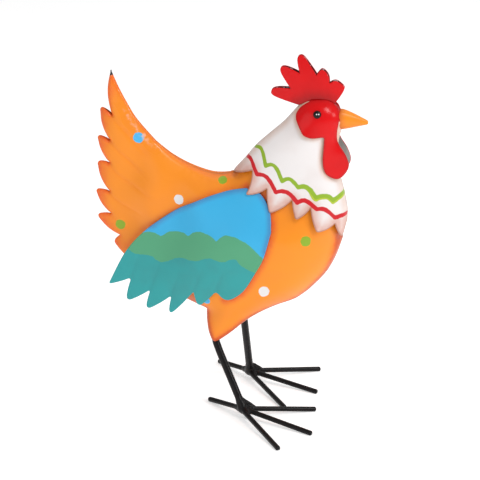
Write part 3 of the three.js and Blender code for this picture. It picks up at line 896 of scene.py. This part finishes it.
def brush_distance(sheet, humps, half_width):
    """Distance to a brushed line in half widths of the brush, less than zero below the line."""
    line = spaced(joined(plain(*humps), closed=False), BRUSH_STEP)
    x, z = sheet.flat.T
    half = np.interp(x, *np.array(half_width, float).T)
    below = z < np.interp(x, line[:, 0], line[:, 1])
    return distance_to(sheet.outer, sheet.on_skin(line)) / half * np.where(below, -1, 1)


print("humps:", len(RED_HUMPS), "red and", len(GREEN_HUMPS), "green")

# %% Masks of the neck
FACE = [
    (60.5, 273.1), (54, 269.2), (49.7, 264.5), (48.5, 260), (50, 256), (52.5, 251.5), (55.5, 247),
    (62, 245), (71, 245.5), (71.7, 241), (71, 226), (72, 218), (75, 212.5), (82.5, 209), (88.3, 212.5),
    (91.8, 220), (89.1, 229), (82.9, 238.5), (81.2, 244), (81.3, 250), (82.3, 256.5), (82.2, 263.5),
    (79.6, 269.5), (72, 273.4),
]
FOREHEAD = np.array([(57, 290), (58.5, 268), (79, 262), (79, 257.5), (95, 257.5), (95, 290)], float)
YELLOW_EDGE_FRONT = (56, 66)

collar_edge = joined([*collar_row, collar_end], closed=False)
face_ring = smooth_line([*FACE, FACE[0]])[:-1]
forehead_side = np.where(is_inside(neck.flat, FOREHEAD), 1, -1)
neck_masks = {
    "forehead_mm": forehead_side * distance_to(neck.flat, looped(FOREHEAD)),
    "red_line": brush_distance(neck, RED_HUMPS, RED_HALF_WIDTH),
    "green_line": brush_distance(neck, GREEN_HUMPS, GREEN_HALF_WIDTH),
    "front": step_up(neck.flat[:, 0], *YELLOW_EDGE_FRONT),
    "collar_mm": distance_to(neck.flat, collar_edge),
    "edge_mm": neck.inset,
    "face_mm": distance_to(neck.flat, looped(face_ring)),
}
print("masks on the neck:", ", ".join(neck_masks))

# %% White paint
LINE_EDGE = 0.14
LINE_WOBBLE = 0.15
FOREHEAD_EDGE = 0.6
# What the airbrush follows, its reach in mm, its strength and its colour.
NECK_SPRAYS = [
    ("edge_mm", 6, 0.55, "#dcb7a2"),
    ("face_mm", 5.5, 0.75, "#d9a887"),
    ("collar_mm", 11, 0.85, "#d7a294"),
]

white = Paint("white_enamel", "#efeae9")
white.clouds("#e9e1df", 30)
mottle = white.uneven(6, 0.7, 1.1, detail=4)
for key, reach, strength, colour in NECK_SPRAYS:
    white.layer(white.times(white.ramp(white.attribute(key), 0, reach, strength, 0.0), mottle), colour)
white.layer(white.ramp(white.attribute("collar_mm"), 0.2, 1.3, 0.55, 0.0), "#a4603f")
for key, colour in (("red_line", "#cf1d27"), ("green_line", "#93b431")):
    wobble = white.uneven(5, -LINE_WOBBLE, LINE_WOBBLE)
    away = white.plus(white.maths("ABSOLUTE", white.attribute(key)), wobble)
    brushed = white.ramp(away, 1 - LINE_EDGE, 1 + LINE_EDGE, 1.0, 0.0)
    white.layer(brushed, colour)
# A yellow-green edge along the underside of the green line, towards the front.
yellow_edge = white.times(brushed, white.ramp(white.attribute("green_line"), -0.62, -0.3, 1.0, 0.0))
white.layer(white.times(yellow_edge, white.attribute("front")), "#b7c63f")
on_forehead = white.ramp(white.attribute("forehead_mm"), -FOREHEAD_EDGE, FOREHEAD_EDGE)
white.layer(on_forehead, "#d60c13")
forehead_rim = white.ramp(white.attribute("edge_mm"), 0.2, 1.6, 0.7, 0.0)
white.layer(white.times(on_forehead, forehead_rim), "#a81319")
white_enamel = white.finish((0.34, 0.46))
add_pair("neck", neck, neck_masks, [white_enamel, primer_grey])

# %% [markdown]
# ## The wings
# A wing is one plate: blue above, a green band with a scalloped upper and a wavy lower edge, and
# teal feathers below, with shallow flutes pressed in from the notches. Three strips of mesh could
# have a colour each, but their borders would be as coarse as the mesh, and the real bands are
# paint. The band's two edges are stored as signed distances, as on the neck. The upper edge is a
# row of humps, the lower one a smooth line.

# %% Bands and flutes of the wing
BAND_HUMPS = [
    [(-90, 148), (-84, 153.5), (-77.7, 155.9), (-71, 156), (-64.6, 153.4)],
    [(-64.6, 153.4), (-59, 157.6), (-52.2, 159.7), (-45.5, 159.9), (-39.8, 158)],
    [(-39.8, 158), (-35, 162), (-29.5, 163.5), (-22, 162), (-15.1, 157.6)],
    [
        (-15.1, 157.6), (-10.5, 161.4), (-5, 163.2), (4.2, 160.9), (13.2, 155.3), (23.8, 145.1),
        (32, 134),
    ],
]
BAND_LOWER = [
    (-100, 143), (-92.9, 139.2), (-88.1, 136.3), (-73.5, 135.5), (-69.3, 132.4), (-62.1, 131.3),
    (-47.5, 137.9), (-34.5, 137.4), (-21.4, 142), (-9.9, 139.7), (-3.7, 142), (2, 142.3), (6.4, 137.1),
    (17.1, 131.3), (28, 125),
]
FLUTE_RUN = (14, 38)
FLUTE_DEPTH = 0.35
FLUTE_WIDTH = 2.2


def flutes(points):
    deepest = np.zeros(len(points))
    for notch in np.array(WING_NOTCHES, float):
        top = notch + FLUTE_RUN
        fade = step_up(np.linalg.norm(points - top, axis=1), 0, np.hypot(*FLUTE_RUN))
        near = distance_to(points, np.array([notch, top]))
        deepest = np.maximum(deepest, fade * np.exp(-((near / FLUTE_WIDTH) ** 2)))
    return FLUTE_DEPTH * deepest


wing = Sheet(wing_ring, wing_height, press=flutes, pitch=1.2)
band_upper = joined(plain(*BAND_HUMPS), closed=False)
band_lower = smooth_line(BAND_LOWER)


def plane_distance(sheet, line):
    order = np.argsort(line[:, 0])
    below = sheet.flat[:, 1] < np.interp(sheet.flat[:, 0], line[order, 0], line[order, 1])
    return distance_to(sheet.flat, line) * np.where(below, -1, 1)


wing_masks = {
    "upper_mm": plane_distance(wing, band_upper),
    "lower_mm": plane_distance(wing, band_lower),
    "edge_mm": wing.inset,
    "flute": flutes(wing.flat) / FLUTE_DEPTH,
}
print("flutes:", len(WING_NOTCHES))

# %% Wing paint
BAND_EDGE = 0.3
BAND_RAGGED = 0.35

teal = Paint("wing_enamel", "#33a2a3")
teal.clouds("#369c9d", 20, 0.35, 0.75)
# Painted shade in the pressed flutes.
teal.layer(teal.ramp(teal.attribute("flute"), 0.1, 1.0, 0.0, 0.25), "#348f92")
ragged = teal.ramp(teal.noise(4, 4), 0.25, 0.75, -BAND_RAGGED, BAND_RAGGED)
for key, colour in (("lower_mm", "#56a67d"), ("upper_mm", "#3cb3e6")):
    above = teal.plus(teal.attribute(key), ragged)
    teal.layer(teal.ramp(above, -BAND_EDGE, BAND_EDGE), colour)
edge_shade = teal.ramp(teal.attribute("edge_mm"), 0, 5.5, 0.75, 0.0)
teal.layer(teal.times(edge_shade, teal.ramp(teal.attribute("upper_mm"), -1, 5)), "#4b86bd")
wing_enamel = teal.finish((0.34, 0.46))
add_pair("wing", wing, wing_masks, [wing_enamel, primer_grey])

# %% [markdown]
# ## Face plates and comb
# A red plate lies on each side of the head and ends in a wattle that hangs free of the neck. The
# comb is two shallow shells with five fingers each, open at the edge, so their inside shows in the
# notches; it is painted near black as shade, with pale flecks as painted glints. Plates cut out of
# the finished head would copy each ridge of its dome, and glossy red shows every one. So the plate
# takes the dome's average over a few millimetres, and the comb a smooth bowl of its own. Both use
# the sheet maker with these height rules.

# %% Face plates
FACE_LIFT = 1.4
FACE_ROUNDING = (1.5, 3.5, 5.5)
FACE_SPOKES = 8
WATTLE_OUT = 14.3
WATTLE_TURN = 0.3
WATTLE_BACK = 71
WATTLE_BLEND = (228, 260)


def face_height(points):
    turns = np.arange(FACE_SPOKES) * 2 * math.pi / FACE_SPOKES
    spokes = np.stack([np.cos(turns), np.sin(turns)], axis=1)
    around = [reach * spoke for reach in FACE_ROUNDING for spoke in spokes]
    rounded = np.mean([dome(points + step) for step in around], axis=0)
    wattle = WATTLE_OUT - WATTLE_TURN * (points[:, 0] - WATTLE_BACK)
    leaving = fading(points[:, 1], *WATTLE_BLEND)
    return rounded * (1 - leaving) + wattle * leaving


face = Sheet(face_ring, face_height, lift=lambda p: np.full(len(p), FACE_LIFT), pitch=1.1, ease=4)
print("face plate:", len(face.triangles), "triangles")

# %% Red paint
RED_RAN_OVER = (250, 256)

red = Paint("red_enamel", "#dc090f", shine=0.24)
red.clouds("#d4080e", 24)
red.layer(red.times(red.attribute("shade"), red.uneven(4, 0.75, 1.1, detail=4)), "#8f1519")
red_enamel = red.finish((0.2, 0.26))
face_masks = {
    "shade": 0.35 * fading(face.inset, 0, 2),
    "painted": step_up(face.flat[:, 1], *RED_RAN_OVER),
}
add_pair("face", face, face_masks, [red_enamel, primer_grey])

# %% Comb
COMB_BASE = [(49.5, 269.3), (57, 272.4), (65, 273.6), (73, 272.6), (78.3, 270.6)]
COMB_FINGERS = [
    [(83.4, 277.5), (86.6, 284.3), (83.2, 288.4), (79, 290.2)],
    [(73.2, 294.8), (68.2, 299.4), (63.6, 294.4)],
    [(53.7, 309), (49.4, 310.5), (47.9, 306.2)],
    [(39.6, 300.3), (34.5, 300), (34.8, 294.9)],
    [(30.7, 282.5), (26.5, 279.7), (29.3, 275.5)],
]
COMB_NOTCHES = [(74.3, 287.9), (63.5, 295), (50.3, 295.5), (43, 282.5)]
COMB_DEPTH = 4.5
COMB_MIDDLE = (57, 277)
COMB_REACH = (41, 45)
COMB_STEP = 0.8
COMB_ROUND = 0.8


def comb_height(points):
    away = (((points - COMB_MIDDLE) / COMB_REACH) ** 2).sum(1)
    return SEAM_GAP + (COMB_DEPTH - SEAM_GAP) * np.clip(1 - away, 0, 1)


comb_roots = [COMB_BASE[-1], *COMB_NOTCHES, COMB_BASE[0]]
comb_edges = [COMB_BASE]
for root, finger, following in zip(comb_roots, COMB_FINGERS, comb_roots[1:]):
    comb_edges.append([root, *finger, following])
comb_ring = joined([(smooth_line(edge, COMB_STEP), COMB_ROUND) for edge in comb_edges])
comb = Sheet(comb_ring, comb_height, pitch=1.1, ease=4)
comb_base_mm = distance_to(comb.flat, smooth_line(COMB_BASE))
print("comb:", len(COMB_FINGERS), "fingers")

# %% Inside of the comb
# Painted shade: the comb's nearly closed inside is painted near black, with pale flecks as painted
# glints.
comb_inside = Paint("comb_inside_painted_shade", "#3a3739", shine=0.2)
comb_inside.clouds("#c4c2c3", 3.5, 0.52, 0.6, detail=3)
shaded_comb_inside = comb_inside.finish((0.5, 0.7), 0.8, 0.15)
comb_masks = {"shade": 0.6 * fading(comb_base_mm, 0, 13)}
add_pair("comb", comb, comb_masks, [red_enamel, shaded_comb_inside])

# %% [markdown]
# ## Beak and eyes
# The beak is a cone with a bellied back and a blunt tip that leans down, and its root wraps the
# sides of the head. Its underside and root are painted darker as shade. The cone could be spun
# with a Screw modifier. Rings of points are as short, and let the section be flattened and the axis
# lean. The eye is a glossy black bead pressed on the plate, made from rings too and turned to the
# plate's normal. Its two white glints are painted highlights, dabs of white paint.

# %% Rings to mesh
RING_SIDES = 48


def ring_mesh(name, rings):
    """A closed mesh from rings of equal length; the first and last ring shrink to a point."""
    rings = np.array(rings)
    count, sides = rings.shape[:2]
    faces = []
    for k in range(count - 1):
        for s in range(sides):
            a, b = k * sides + s, k * sides + (s + 1) % sides
            faces.append((a, b, b + sides, a + sides))
    corners = rings.reshape(-1, 3).tolist()
    for k, turn in ((0, -1), (count - 1, 1)):
        corners.append(rings[k].mean(0).tolist())
        loop = [k * sides + s for s in range(sides)]
        for a, b in zip(loop, loop[1:] + loop[:1]):
            faces.append((a, b, len(corners) - 1)[::turn])
    mesh = bpy.data.meshes.new(name)
    mesh.from_pydata(in_frame(corners).tolist(), [], faces)
    mesh.shade_smooth()
    return mesh


print("beak and eyes have", RING_SIDES, "sides")

# %% Beak
BEAK_PROFILE = [
    (8.2, -2), (8.6, 0), (7.4, 5), (5.4, 11), (3.4, 16.5), (2, 20.3), (1.3, 21.4), (0.2, 21.5),
]
BEAK_LENGTH = 21.5
BEAK_FLAT = 0.85
BEAK_DROP = 2.2
BEAK_LEAN = 1.4
BEAK_WRAP = 2
BEAK_STEP = 0.5

angles = np.linspace(0, 2 * math.pi, RING_SIDES, endpoint=False)
beak_rings = []
for radius, run in smooth_line(BEAK_PROFILE, BEAK_STEP):
    share = max(run, 0) / BEAK_LENGTH
    ring_x = BEAK_BASE[0] + run - BEAK_WRAP * (1 - share) * np.sin(angles) ** 2
    ring_y = BEAK_FLAT * radius * np.sin(angles)
    ring_z = BEAK_BASE[1] - BEAK_DROP * share**BEAK_LEAN + radius * np.cos(angles)
    beak_rings.append(np.stack([ring_x, ring_y, ring_z], axis=1)[::-1])
beak_mesh = ring_mesh("beak_cone", beak_rings)
beak_x, _, beak_z = np.vstack(beak_rings).T
store(beak_mesh, "low_mm", np.r_[BEAK_BASE[1] - beak_z, 0, 0])
store(beak_mesh, "run_mm", np.r_[beak_x - BEAK_BASE[0], BEAK_PROFILE[0][1], BEAK_LENGTH])

horn = Paint("beak_enamel", "#fd9320")
horn.clouds("#fb8f25", 8)
# Painted shade: the beak's underside and its root against the head are painted darker.
horn.layer(horn.ramp(horn.attribute("low_mm"), 2, 9, 0.0, 0.6), "#ee7c30")
horn.layer(horn.ramp(horn.attribute("run_mm"), -2.5, 5, 0.8, 0.0), "#d8712f")
beak_enamel = horn.finish((0.3, 0.42))
add_piece("beak_cone", beak_mesh, ["beak"], [beak_enamel])
print("beak:", len(beak_rings), "rings")

# %% Shape of an eye
EYE = np.array([65.9, 264.2])
EYE_RADIUS = 3.3
EYE_HEIGHT = 2.3
EYE_SUNK = 0.2
EYE_RINGS = 24
POLE_GAP = 0.05

steps = np.array([(1, 0), (-1, 0), (0, 1), (0, -1), (0, 0)], float)
before, behind, above, below, middle = face_height(EYE + steps)
eye_normal = np.array([(behind - before) / 2, -1, (below - above) / 2])
eye_normal /= np.linalg.norm(eye_normal)
eye_side = np.cross(eye_normal, (0, 0, 1))
eye_side /= np.linalg.norm(eye_side)
eye_up = np.cross(eye_side, eye_normal)
eye_seat = np.array([EYE[0], -middle, EYE[1]]) + (FACE_LIFT - EYE_SUNK) * eye_normal
eye_rings = []
for rise in np.linspace(0, math.pi / 2 - POLE_GAP, EYE_RINGS):
    radius, height = EYE_RADIUS * math.cos(rise), EYE_HEIGHT * math.sin(rise)
    spokes = [radius * (math.cos(a) * eye_side + math.sin(a) * eye_up) for a in angles]
    eye_rings.append([eye_seat + height * eye_normal + spoke for spoke in spokes])
print("the right eye sits at", np.round(eye_seat, 1))

# %% Eye beads
EYE_GLINTS = [(0.3, -0.1), (-1.45, -0.1)]
GLINT_RADIUS = (0.4, 0.7)

bead = Paint("eye_gloss", "#030303")
bead.clouds("#0a0909", 3, 0.4, 0.8)
# Painted highlight: two white dabs stand for the lamps' glints on the bead.
bead.layer(bead.ramp(bead.attribute("glint_mm"), *GLINT_RADIUS, 1.0, 0.0), "#f4f2f2")
eye_gloss = bead.finish((0.04, 0.08), 1.0, 0.01)
for side, turn in (("right", 1), ("left", -1)):
    mirror = (1, turn, 1)
    rings = [[p * mirror for p in ring][::-turn] for ring in eye_rings]
    eye_mesh = ring_mesh(f"eye_bead_{side}", rings)
    corners = np.array([tuple(v.co) for v in eye_mesh.vertices]) - in_frame([eye_seat * mirror])
    across = corners @ (eye_side * mirror) / MM
    up = corners @ (eye_up * mirror) / MM
    to_glints = [np.hypot(across - u, up - v) for u, v in EYE_GLINTS]
    store(eye_mesh, "glint_mm", np.min(to_glints, axis=0))
    add_piece(eye_mesh.name, eye_mesh, [f"eye_{side}"], [eye_gloss])
print("glints on each eye:", len(EYE_GLINTS))

# %% [markdown]
# ## Legs and toes
# Legs are bent steel rod, and each foot has four straight toes of thinner rod. A rod is a section
# that follows a path, which is what Geometry Nodes do well: one tree sweeps a circle along a curve
# and eases the radius at both ends, so that the cut ends are round. A bevelled curve would do too,
# but its ends stay flat. The tree's sizes are named inputs, and it serves all ten rods. The result
# is turned into a plain mesh, so that nothing live is left on a piece.

# %% Rod tree
FULL_RADIUS = 0.5
END_RADIUS = 0.2


def rod_tree():
    tree = bpy.data.node_groups.new("bent_rod", "GeometryNodeTree")
    sockets = {}
    input_kinds = {
        "Path": "NodeSocketGeometry", "Diameter": "NodeSocketFloat", "End Round": "NodeSocketFloat",
        "Step": "NodeSocketFloat", "Sides": "NodeSocketInt", "Paint": "NodeSocketMaterial",
    }
    for name, kind in input_kinds.items():
        sockets[name] = tree.interface.new_socket(name, in_out="INPUT", socket_type=kind).identifier
    tree.interface.new_socket("Rod", in_out="OUTPUT", socket_type="NodeSocketGeometry")
    nodes, link = tree.nodes, tree.links.new

    def math_node(operation, *values):
        node = nodes.new("ShaderNodeMath")
        node.operation = operation
        for socket, value in zip(node.inputs, values):
            if isinstance(value, bpy.types.NodeSocket):
                link(value, socket)
            else:
                socket.default_value = value
        return node.outputs[0]

    given = nodes.new("NodeGroupInput").outputs
    path = nodes.new("GeometryNodeResampleCurve")
    path.mode = "LENGTH"
    link(given["Path"], path.inputs["Curve"])
    link(given["Step"], path.inputs["Length"])
    run = nodes.new("GeometryNodeSplineParameter").outputs["Length"]
    length = nodes.new("GeometryNodeSplineLength").outputs["Length"]
    to_end = math_node("MINIMUM", run, math_node("SUBTRACT", length, run))
    share = math_node("MINIMUM", math_node("DIVIDE", to_end, given["End Round"]), 1.0)
    left_over = math_node("SUBTRACT", 1.0, share)
    easing = math_node("SQRT", math_node("SUBTRACT", 1.0, math_node("MULTIPLY", left_over, left_over)))
    part = math_node("MULTIPLY_ADD", easing, FULL_RADIUS - END_RADIUS, END_RADIUS)
    radius = math_node("MULTIPLY", given["Diameter"], part)
    section = nodes.new("GeometryNodeCurvePrimitiveCircle")
    section.inputs["Radius"].default_value = 1.0
    link(given["Sides"], section.inputs["Resolution"])
    sweep = nodes.new("GeometryNodeCurveToMesh")
    sweep.inputs["Fill Caps"].default_value = True
    link(path.outputs["Curve"], sweep.inputs["Curve"])
    link(section.outputs["Curve"], sweep.inputs["Profile Curve"])
    link(radius, sweep.inputs["Scale"])
    realized = nodes.new("GeometryNodeRealizeInstances")
    link(sweep.outputs["Mesh"], realized.inputs["Geometry"])
    painted = nodes.new("GeometryNodeSetMaterial")
    link(realized.outputs["Geometry"], painted.inputs["Geometry"])
    link(given["Paint"], painted.inputs["Material"])
    link(painted.outputs["Geometry"], nodes.new("NodeGroupOutput").inputs["Rod"])
    return tree, sockets


bent_rod, rod_sockets = rod_tree()
print("rod inputs:", ", ".join(rod_sockets))

# %% Black paint and rods
ROD_STEP = 0.6
ROD_SIDES = 20
END_ROUND = 1 / 3

black = Paint("black_enamel", "#151314", shine=0.17)
black.clouds("#1d1b1c", 7, detail=4)
black.clouds("#272426", 1.5, 0.6, 0.8)
black_enamel = black.finish((0.24, 0.34), 1.0, 0.12)


def rod_mesh(name, route, diameter):
    line = bpy.data.curves.new(name, "CURVE")
    line.dimensions = "3D"
    points = line.splines.new("POLY").points
    points.add(len(route) - 1)
    points.foreach_set("co", np.c_[in_frame(route), np.ones(len(route))].ravel())
    carrier = bpy.data.objects.new(name, line)
    bpy.context.scene.collection.objects.link(carrier)
    sweep = carrier.modifiers.new("rod", "NODES")
    sweep.node_group = bent_rod
    given = {
        "Diameter": diameter * MM, "End Round": diameter * END_ROUND * MM, "Step": ROD_STEP * MM,
        "Sides": ROD_SIDES, "Paint": black_enamel,
    }
    for key, value in given.items():
        sweep[rod_sockets[key]] = value
    swept = carrier.evaluated_get(bpy.context.evaluated_depsgraph_get())
    mesh = bpy.data.meshes.new_from_object(swept)
    carrier.modifiers.remove(sweep)
    bpy.data.objects.remove(carrier)
    bpy.data.curves.remove(line)
    mesh.name = name
    mesh.shade_smooth()
    return mesh


print("rods have", ROD_SIDES, "sides and a ring every", ROD_STEP, "mm")

# %% [markdown]
# ## Welded feet
# Leg and toes meet in a lump of weld with soft fillets. A Boolean union would leave hard corners.
# So the lump is built from overlapping balls along the roots of the rods, melted together by a
# voxel Remesh, smoothed, and roughened by a little noise, which is how a weld looks under thick
# paint. The leg takes the lump along as one piece. The toes stay pieces of their own and are ground
# flat where they stand. All rods are drawn a tenth thicker than the solids' 6 and 4 mm, because
# thin black rods look thinner in a render.

# %% Routes of the rods
FOOT = 8.5
LEG_BEND = 7
LEG_STEP = 1.0
LEGS = {
    "right": [
        (-14, -22, 86), (-16.5, -21.6, 73), (-18.6, -19.5, 61.5), (-13.9, -23.6, 51.5),
        (8.2, -40, FOOT),
    ],
    "left": [(1.2, 22, 99), (1.6, 13.6, 87), (1.8, 8.8, 75), (2.1, 13.6, 64.5), (3.4, 40, FOOT)],
}
TOES = {
    "right": {"1": (18.5, 64), "2": (-24.5, 68.5), "3": (-58, 72), "back": (140, 44)},
    "left": {"1": (22.7, 65.5), "2": (-21.3, 67.5), "3": (-57.5, 71.5), "back": (137, 44.5)},
}


def toe_direction(heading):
    angle = math.radians(heading)
    return np.array([math.cos(angle), math.sin(angle), 0])


def rod_route(points):
    points = np.array(points, float)
    stretches = [(spaced(np.array(pair), LEG_STEP), LEG_BEND / 2) for pair in zip(points, points[1:])]
    return joined(stretches, closed=False)


for side, route in LEGS.items():
    print(side, "leg is", round(run_along(rod_route(route))[-1]), "mm long")

# %% Balls of weld
TOE_ROOT_DROP = 0.9
TOE_TIP_HEIGHT = 1.6
BALL_SIDES = 20
BALL_RINGS = 11
BALL_POLE = 0.1
# Runs along a rod, and up the leg and out along toe 1, each with the radius of a ball.
WELD_TOE = [(1, 4.3), (2.5, 3.9), (4, 3.5), (5.5, 3.2), (7, 2.9), (8.5, 2.6), (10, 2.3)]
WELD_LEG = [(0, 4.9), (2, 4.5), (4, 4.1), (6, 3.8), (8, 3.5)]
WELD_GUSSET = [
    (7.5, 2.4, 1.7), (6.4, 3.2, 1.8), (5.4, 4.1, 1.9), (4.6, 5, 1.9), (3.8, 6, 1.8), (3, 7, 1.7),
    (2, 8, 1.6), (1, 9, 1.5), (0.2, 10, 1.4),
]


def weld_balls(route, toes):
    """Balls along the leg's end, along the toes' roots, and in the corner between the leg and toe 1."""
    knee, foot = np.array(route[-2:], float)
    up_leg = (knee - foot) / np.linalg.norm(knee - foot)
    root = foot - (0, 0, TOE_ROOT_DROP)
    balls = [(foot + run * up_leg, radius) for run, radius in WELD_LEG]
    for heading, length in toes.values():
        slope = (TOE_TIP_HEIGHT - root[2]) / length
        for run, radius in WELD_TOE:
            balls.append((root + run * toe_direction(heading) + (0, 0, run * slope), radius))
    for up, out, radius in WELD_GUSSET:
        balls.append((foot + up * up_leg + out * toe_direction(toes["1"][0]), radius))
    return balls


def ball(middle, radius):
    turns = np.linspace(0, 2 * math.pi, BALL_SIDES, endpoint=False)
    steepest = math.pi / 2 - BALL_POLE
    rings = []
    for rise in np.linspace(-steepest, steepest, BALL_RINGS):
        across, up = radius * math.cos(rise), radius * math.sin(rise)
        rings.append([middle + (across * math.cos(a), across * math.sin(a), up) for a in turns])
    return ring_mesh("ball", rings)


print("balls in a foot:", len(weld_balls(LEGS["right"], TOES["right"])))

# %% Legs with their weld
LEG_ROD = 6.6
WELD_VOXEL = 0.45
WELD_EASING = 14
WELD_LUMP = 0.25
WELD_LUMP_SIZE = 3.5
WELD_FADE = (8, 15)


def melted(name, meshes):
    merged = bpy.data.objects.new(name, bpy.data.meshes.new(name))
    bpy.context.scene.collection.objects.link(merged)
    corners, faces = [], []
    for mesh in meshes:
        start = len(corners)
        corners += [tuple(v.co) for v in mesh.vertices]
        faces += [[start + i for i in polygon.vertices] for polygon in mesh.polygons]
        bpy.data.meshes.remove(mesh)
    merged.data.from_pydata(corners, [], faces)
    melt = merged.modifiers.new("melt", "REMESH")
    melt.mode = "VOXEL"
    melt.voxel_size = WELD_VOXEL * MM
    ease = merged.modifiers.new("ease", "SMOOTH")
    ease.factor = 0.5
    ease.iterations = WELD_EASING
    molten = merged.evaluated_get(bpy.context.evaluated_depsgraph_get())
    result = bpy.data.meshes.new_from_object(molten)
    bpy.data.objects.remove(merged)
    result.name = name
    return result


def roughened(mesh, foot):
    corners = np.empty(3 * len(mesh.vertices), np.float32)
    mesh.vertices.foreach_get("co", corners)
    corners = corners.reshape(-1, 3)
    normals = np.array([tuple(normal.vector) for normal in mesh.vertex_normals])
    lumps = np.array([noise.noise(Vector(p)) for p in corners / (WELD_LUMP_SIZE * MM)])
    near = fading(np.linalg.norm(corners - in_frame([foot]), axis=1) / MM, *WELD_FADE)
    corners = corners + normals * (lumps * near * WELD_LUMP * MM)[:, None]
    corners[:, 2] = np.maximum(corners[:, 2], 0)
    mesh.vertices.foreach_set("co", corners.astype(np.float32).ravel())
    mesh.shade_smooth()
    mesh.update()
    return mesh


for side, route in LEGS.items():
    foot = np.array(route[-1], float)
    parts = [rod_mesh("shank", rod_route(route), LEG_ROD)]
    parts += [ball(*spot) for spot in weld_balls(route, TOES[side])]
    leg = roughened(melted(f"leg_rod_{side}", parts), foot)
    add_piece(f"leg_rod_{side}", leg, [f"leg_{side}"], [black_enamel])
    print(side, "leg:", len(leg.polygons), "faces")

# %% Toes
TOE_ROD = 4.4
TOE_ROOT = 5
THIRD_TOE_SHIFT = (-0.8, -1.5, 0)


def toe_mesh(name, foot, heading, length, shift):
    tip = foot + length * toe_direction(heading)
    tip[2] = TOE_TIP_HEIGHT
    root = foot + shift - (0, 0, TOE_ROOT_DROP)
    start = root + (tip - root) * TOE_ROOT / length
    mesh = rod_mesh(name, np.array([start, tip]), TOE_ROD)
    for vertex in mesh.vertices:
        vertex.co.z = max(vertex.co.z, 0)
    return mesh


for side, route in LEGS.items():
    for toe, (heading, length) in TOES[side].items():
        shift = THIRD_TOE_SHIFT if toe == "3" else (0, 0, 0)
        mesh = toe_mesh(f"{side}_toe_rod_{toe}", np.array(route[-1], float), heading, length, shift)
        add_piece(mesh.name, mesh, [f"{side}_toe_{toe}"], [black_enamel])
print("toes:", sum(len(toes) for toes in TOES.values()))

# %% [markdown]
# ## Floor, light and camera
# The bird stands on a plain white floor in soft studio light. A broad lamp stands left of the
# camera and a narrow strip on the right. A lamp high on the right makes the shine on the face, a
# small one stands behind on the right, and a broad one hangs above and behind. A bright world alone
# would light the bird evenly, but without shapes to reflect, gloss paint looks dull. The camera
# looks down a little with a long lens, as in a shop photograph.

# %% Floor
FLOOR_SIZE = 12.0
FLOOR_GLOW = 0.47
half = FLOOR_SIZE / 2
floor_corners = [(-half, -half, 0), (half, -half, 0), (half, half, 0), (-half, half, 0)]
floor_mesh = bpy.data.meshes.new("floor")
floor_mesh.from_pydata(floor_corners, [], [(0, 1, 2, 3)])
floor = bpy.data.objects.new("floor", floor_mesh)
bpy.context.scene.collection.objects.link(floor)
paper = bpy.data.materials.new("white_paper")
paper.use_nodes = True
paper_shader = paper.node_tree.nodes["Principled BSDF"]
paper_shader.inputs["Base Color"].default_value = (0.9, 0.9, 0.9, 1)
paper_shader.inputs["Roughness"].default_value = 0.8
paper_shader.inputs["Emission Color"].default_value = (1, 1, 1, 1)
paper_shader.inputs["Emission Strength"].default_value = FLOOR_GLOW
floor_mesh.materials.append(paper)
print("floor:", FLOOR_SIZE, "m wide")

# %% Lights
TARGET = in_frame([(0, 0, 146.2)])[0]
LAMPS = {
    "left_of_camera": ((-0.95, -1.6, 0.75), (1.2, 1.2), 4.2),
    "right_box": ((1.35, -0.5, 0.8), (0.16, 0.45), 4),
    "top_box": ((0.85, -0.66, 1.42), (0.36, 0.56), 7.6),
    "back_box": ((1.07, 0.75, 1.08), (0.25, 0.5), 2),
    "tent_top": ((0, 0.6, 1.5), (1.6, 1), 4),
}
WORLD_LIGHT = 0.43


def softbox(name, place, size, power):
    lamp = bpy.data.lights.new(name, "AREA")
    lamp.shape = "RECTANGLE"
    lamp.size, lamp.size_y = size
    lamp.energy = power
    box = bpy.data.objects.new(name, lamp)
    box.location = place
    box.rotation_euler = (Vector(TARGET) - Vector(place)).to_track_quat("-Z", "Y").to_euler()
    bpy.context.scene.collection.objects.link(box)


for name, lamp in LAMPS.items():
    softbox(name, *lamp)
world = bpy.data.worlds.new("studio")
world.use_nodes = True
background = world.node_tree.nodes["Background"]
background.inputs["Color"].default_value = (1, 1, 1, 1)
background.inputs["Strength"].default_value = WORLD_LIGHT
bpy.context.scene.world = world
bpy.context.scene.view_settings.view_transform = "Standard"
print("lights:", ", ".join(LAMPS))

# %% Camera
AZIMUTH = math.radians(8)
ELEVATION = math.radians(20.5)
DISTANCE = 1.785
LENS = 157.5
SENSOR = 36

level = math.cos(ELEVATION)
backwards = Vector((math.sin(AZIMUTH) * level, -math.cos(AZIMUTH) * level, math.sin(ELEVATION)))
camera = bpy.data.objects.new("camera", bpy.data.cameras.new("camera"))
camera.data.lens = LENS
camera.data.sensor_width = SENSOR
camera.location = Vector(TARGET) + backwards * DISTANCE
camera.rotation_euler = (-backwards).to_track_quat("-Z", "Y").to_euler()
bpy.context.scene.collection.objects.link(camera)
bpy.context.scene.camera = camera
print("camera at", np.round(camera.location, 3))
